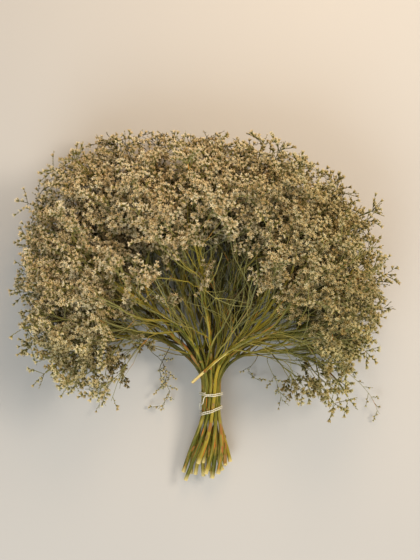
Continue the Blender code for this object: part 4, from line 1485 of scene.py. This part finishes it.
# Twigs that fill the thin places of the canopy out to its rim
filling = {
    "cell": 10 * mm,
    "least": 9,  # calyces and buds over a cell
    "height": (0.3, 0.85),  # of the canopy's form
    "radius": (0.5 * mm, 0.3 * mm),
    "nearer": 14 * mm,  # how much nearer to the neck it leaves another twig than it ends
    "farthest": 60 * mm,
    "mostAngle": 102,
    "sprigs": (0.3, 6 * mm, (9 * mm, 16 * mm)),
    "countEvery": 12,
}


# How many calyces and buds there are over each cell of the plan
def countCells(placed):
    counts = {}
    for x, y in placed:
        key = (math.floor(x / filling["cell"]), math.floor(y / filling["cell"]))
        counts[key] = counts.get(key, 0) + 1
    return counts


def fillCanopy(sprays, placed, rng):
    points, leading, owner = [], [], []
    for spray in sprays:
        for way in spray["ways"]:
            for k in range(1, len(way) - 1):
                points.append(way[k])
                leading.append(way[k + 1] - way[k - 1])
                owner.append(spray)
    points = np.array(points)
    reaches = np.array([sceneFromNeck(Vector(p))[0] for p in points])
    counts = countCells(placed)
    cells = [(i, j) for i in range(-22, 22) for j in range(-20, 20)]
    rng.shuffle(cells)
    added = 0
    for i, j in cells:
        middle = Vector(((i + rng.random()) * filling["cell"], (j + rng.random()) * filling["cell"], 0))
        if counts.get((i, j), 0) >= filling["least"] * (1 - airy(middle)):
            continue
        distance, angle = sceneFromNeck(middle)
        share = rimShare(middle)
        if share > 0.99 or abs(angle) > filling["mostAngle"] or bareness(middle) > 0.5:
            continue
        middle.z = domeHeight(share) * rng.uniform(*filling["height"])
        middle = inBox(middle)
        away = np.linalg.norm(points - np.array(middle), axis=1)
        away[(reaches > distance - filling["nearer"]) | (away > filling["farthest"])] = 9
        nearest = int(np.argmin(away))
        far = away[nearest]
        if far > 1:
            continue
        start = Vector(points[nearest])
        knee = start + leading[nearest].normalized() * far * 0.45
        way = kinked(bentWay(start, knee, middle, max(4, int(far / (7 * mm)))), rng)
        addTwig(owner[nearest], way, filling["radius"], 3, (0.4, 0.9), rng)
        addSideSprigs(owner[nearest], way, *filling["sprigs"], rng)
        added += 1
        if added % filling["countEvery"] == 0:
            counts = countCells(placed)
    print("filling twigs:", added)


# Thin sprigs that hang out of the bunch near its neck and at its lower rim. Each route is the number of
# its spray, the points of its way and how far apart its sprigs are, in mm
strayLook = {
    "routes": (
        (0, ((-50, -72, 14), (-38, -96, 10), (-52, -117, 6)), 7),
        (0, ((-62, -44, 24), (-46, -62, 16), (-42, -80, 9), (-50, -92, 6)), 5),
        (0, ((-110, -66, 22), (-117, -92, 12), (-120, -116, 6)), 7),
        (2, ((74, -62, 20), (84, -84, 12), (92, -108, 7)), 5),
        (2, ((150, -60, 26), (186, -92, 16), (204, -122, 8)), 8),
        (2, ((60, -60, 16), (52, -74, 9), (66, -84, 6)), 7),
    ),
    "radius": (0.5 * mm, 0.22 * mm),
    "sprigLong": (8 * mm, 14 * mm),
    "size": 0.66,  # of their calyces
}


def addStrays(sprays, rng):
    for number, route, every in strayLook["routes"]:
        spray = sprays[number]
        points = [Vector(p) * mm for p in route]
        start = min((p for way in spray["ways"] for p in way), key=lambda p: (p - points[0]).length)
        way = kinked(smoothWay([start] + points, 7 * mm), rng)
        addTwig(spray, way, strayLook["radius"], 4, (0.5, 0.9), rng)
        addSideSprigs(spray, way, 0.4, every * mm, strayLook["sprigLong"], rng, True)


# Scales at the nodes of a stem, and rust-coloured sheaths on top of the stems: where these lie seen from
# above and how long they are, in mm
scaleLook = {
    "first": (12, 40),
    "apart": (30, 75),
    "leanDeg": (5, 16),
    "long": (3.5, 6.5),
    "wide": 1.7,  # of the stem's radius
    "lowLonger": 2.6,  # how many times as long some of those below the neck are
    "lowShare": 0.6,
    "aboveSurface": 1.5 * mm,
    "sheaths": (
        (26, -172, 15), (22, -160, 12), (18, -137, 16), (11, -134, 13), (12, -110, 9), (-11, -59, 20),
        (10, -52, 9), (-22, -44, 16), (50, -22, 8),
    ),
    "sheathLeanDeg": (2, 7),
    "sheathReach": 7 * mm,  # how far from its place a stem may be
}


def addScales(spray, grown, rng):
    length = pathLength(grown["path"])
    at = rng.uniform(*scaleLook["first"]) * mm
    while at < length * 0.8:
        point, along = alongPath(grown["path"], at)
        radius = stemRadius(grown, at)
        out = squareTo(along, anyTurn(rng))
        way = leaning(along, out, rng.uniform(*scaleLook["leanDeg"])).normalized()
        long = rng.uniform(*scaleLook["long"]) * mm
        if at < grown["neck"] - 25 * mm and rng.random() < scaleLook["lowShare"]:
            long *= scaleLook["lowLonger"]
        foot = toScene(point) + out * radius * 0.75
        if min(foot.z, foot.z + way.z * long) > scaleLook["aboveSurface"]:
            wide = radius * scaleLook["wide"]
            addScale(spray, foot, way, out, (wide, wide, long), rng)
        at += rng.uniform(*scaleLook["apart"]) * mm


def addSheaths(sprays, stems, rng):
    for x, y, long in scaleLook["sheaths"]:
        found = []
        for number, grown in enumerate(stems):
            for k in range(2, len(grown["path"]) - 2):
                point = toScene(grown["path"][k])
                aside = math.hypot(point.x - x * mm, point.y - y * mm)
                if aside < scaleLook["sheathReach"]:
                    found.append((point.z - 2 * aside, number, k))
        number, k = max(found, key=lambda one: one[0])[1:]
        grown, spray = stems[number], sprays[number]
        along = (grown["path"][k + 1] - grown["path"][k - 1]).normalized()
        out = (Vector((rng.uniform(-0.4, 0.4), 0, 1)) - along * along.z).normalized()
        radius = stemRadius(grown, k * step)
        way = leaning(along, out, rng.uniform(*scaleLook["sheathLeanDeg"])).normalized()
        foot = toScene(grown["path"][k]) + out * radius * 0.8 - along * long / 2 * mm
        addScale(spray, foot, way, out, (radius * 2, radius * scaleLook["wide"], long * mm), rng)


stemLook = {
    "sides": 8,
    "station": 6 * mm,
    "thin": (0.86, 1.0),
    "uneven": (0.96, 1.0),
    "endsThicker": 0.24,  # how much thicker the cut ends are than the bound part
    "thickerFrom": -10 * mm,
    "thickerOver": 50 * mm,
    "loose": 0.8,  # how thick the loose stem is
    "cutFlare": 1.06,
    "aboveSurface": 0.02 * mm,
}


def addStem(spray, grown, rng):
    path = grown["path"]
    length = pathLength(path)
    count = int(length / stemLook["station"])
    points = [toScene(alongPath(path, length * k / count)[0]) for k in range(count + 1)]
    thin = rng.uniform(*stemLook["thin"])
    radii = []
    for k, p in enumerate(points):
        below = stemLook["thickerFrom"] - (p + planMiddle).y
        wide = 1 + stemLook["endsThicker"] * level(below / stemLook["thickerOver"])
        wide = thin * (wide if grown["neck"] else stemLook["loose"])
        radius = stemRadius(grown, length * k / count) * wide * rng.uniform(*stemLook["uneven"])
        radii.append(min(radius, p.z - stemLook["aboveSurface"]))
    radii[0] *= stemLook["cutFlare"]
    addTube(spray["twigs"], points, radii, stemLook["sides"], (0, 0.6, rng.random()), rng.uniform(0, 4))
    spray["ways"].append([p for p in points if sceneFromNeck(p)[0] > 60 * mm and p.y + planMiddle.y > 0])


def addBranch(spray, grown, limb, rng):
    rings = limb["rings"]
    inner = min(grown["path"], key=lambda p: (p - rings[0]["at"]).length)
    way = smoothWay([toScene(inner)] + [toScene(r["at"]) for r in rings], 5 * mm)
    way = kinked(way, rng, twig["branchKink"])
    addTwig(spray, way, twig["branchRadius"], twig["branchSides"], (0.4, 0.8), rng)
    spray["ways"].append(way)
    for bloom in limb["blooms"]:
        addHead(spray, bloom, rng)
    addSideSprigs(spray, way, 0.4, *twig["betweenHeads"], rng)


floorLook = {"size": 1.6, "dark": (0.55, 0.54, 0.53), "pale": (0.59, 0.58, 0.565)}


def buildFloor():
    bm = bmesh.new()
    bmesh.ops.create_grid(bm, x_segments=1, y_segments=1, size=floorLook["size"])
    mesh = bpy.data.meshes.new("floor")
    bm.to_mesh(mesh)
    bm.free()
    floor = bpy.data.objects.new("floor", mesh)
    look = NodeMaterial("paleFloor", 0.9)
    colour = look.mix(look.noise(look.where(), 3), floorLook["dark"], floorLook["pale"])
    look.put(look.shader, {"Base Color": colour})
    mesh.materials.append(look.material)
    bpy.context.scene.collection.objects.link(floor)


light = {
    "lamps": {
        "key": {"at": (1.05, 0.36, 1.25), "size": 0.6, "power": 15.8, "colour": (1.0, 0.88, 0.73)},
        "glow": {"at": (0.13, 0.6, 0.62), "size": 0.4, "power": 2.6, "colour": (1.0, 0.68, 0.38)},
        "fill": {"at": (-0.5, -1.1, 1.3), "size": 1.2, "power": 14, "colour": (0.88, 0.97, 1.0)},
    },
    "sky": (0.97, 0.89, 0.79),
    "skyStrength": 0.42,
}


def addLights():
    for name, values in light["lamps"].items():
        data = bpy.data.lights.new(name, "AREA")
        data.shape = "DISK"
        data.size = values["size"]
        data.energy = values["power"]
        data.color = values["colour"]
        lamp = bpy.data.objects.new(name, data)
        lamp.location = values["at"]
        lamp.rotation_euler = (-Vector(values["at"])).to_track_quat("-Z", "Y").to_euler()
        bpy.context.scene.collection.objects.link(lamp)
    world = bpy.data.worlds.new("room")
    world.use_nodes = True
    back = world.node_tree.nodes["Background"]
    back.inputs["Color"].default_value = (*light["sky"], 1)
    back.inputs["Strength"].default_value = light["skyStrength"]
    bpy.context.scene.world = world


# Straight above the bunch, looking down
view = {"at": (0.0082, 0.0325, 1.1), "lens": 60.78, "sensorHeight": 36}


def addCamera():
    data = bpy.data.cameras.new("camera")
    data.sensor_fit = "VERTICAL"
    data.sensor_height = view["sensorHeight"]
    data.lens = view["lens"]
    data.clip_start = 0.01
    camera = bpy.data.objects.new("camera", data)
    camera.location = view["at"]
    bpy.context.scene.collection.objects.link(camera)
    bpy.context.scene.camera = camera
    bpy.context.scene.view_settings.view_transform = "Standard"


buildSprays()
buildString()
buildFloor()
addLights()
addCamera()
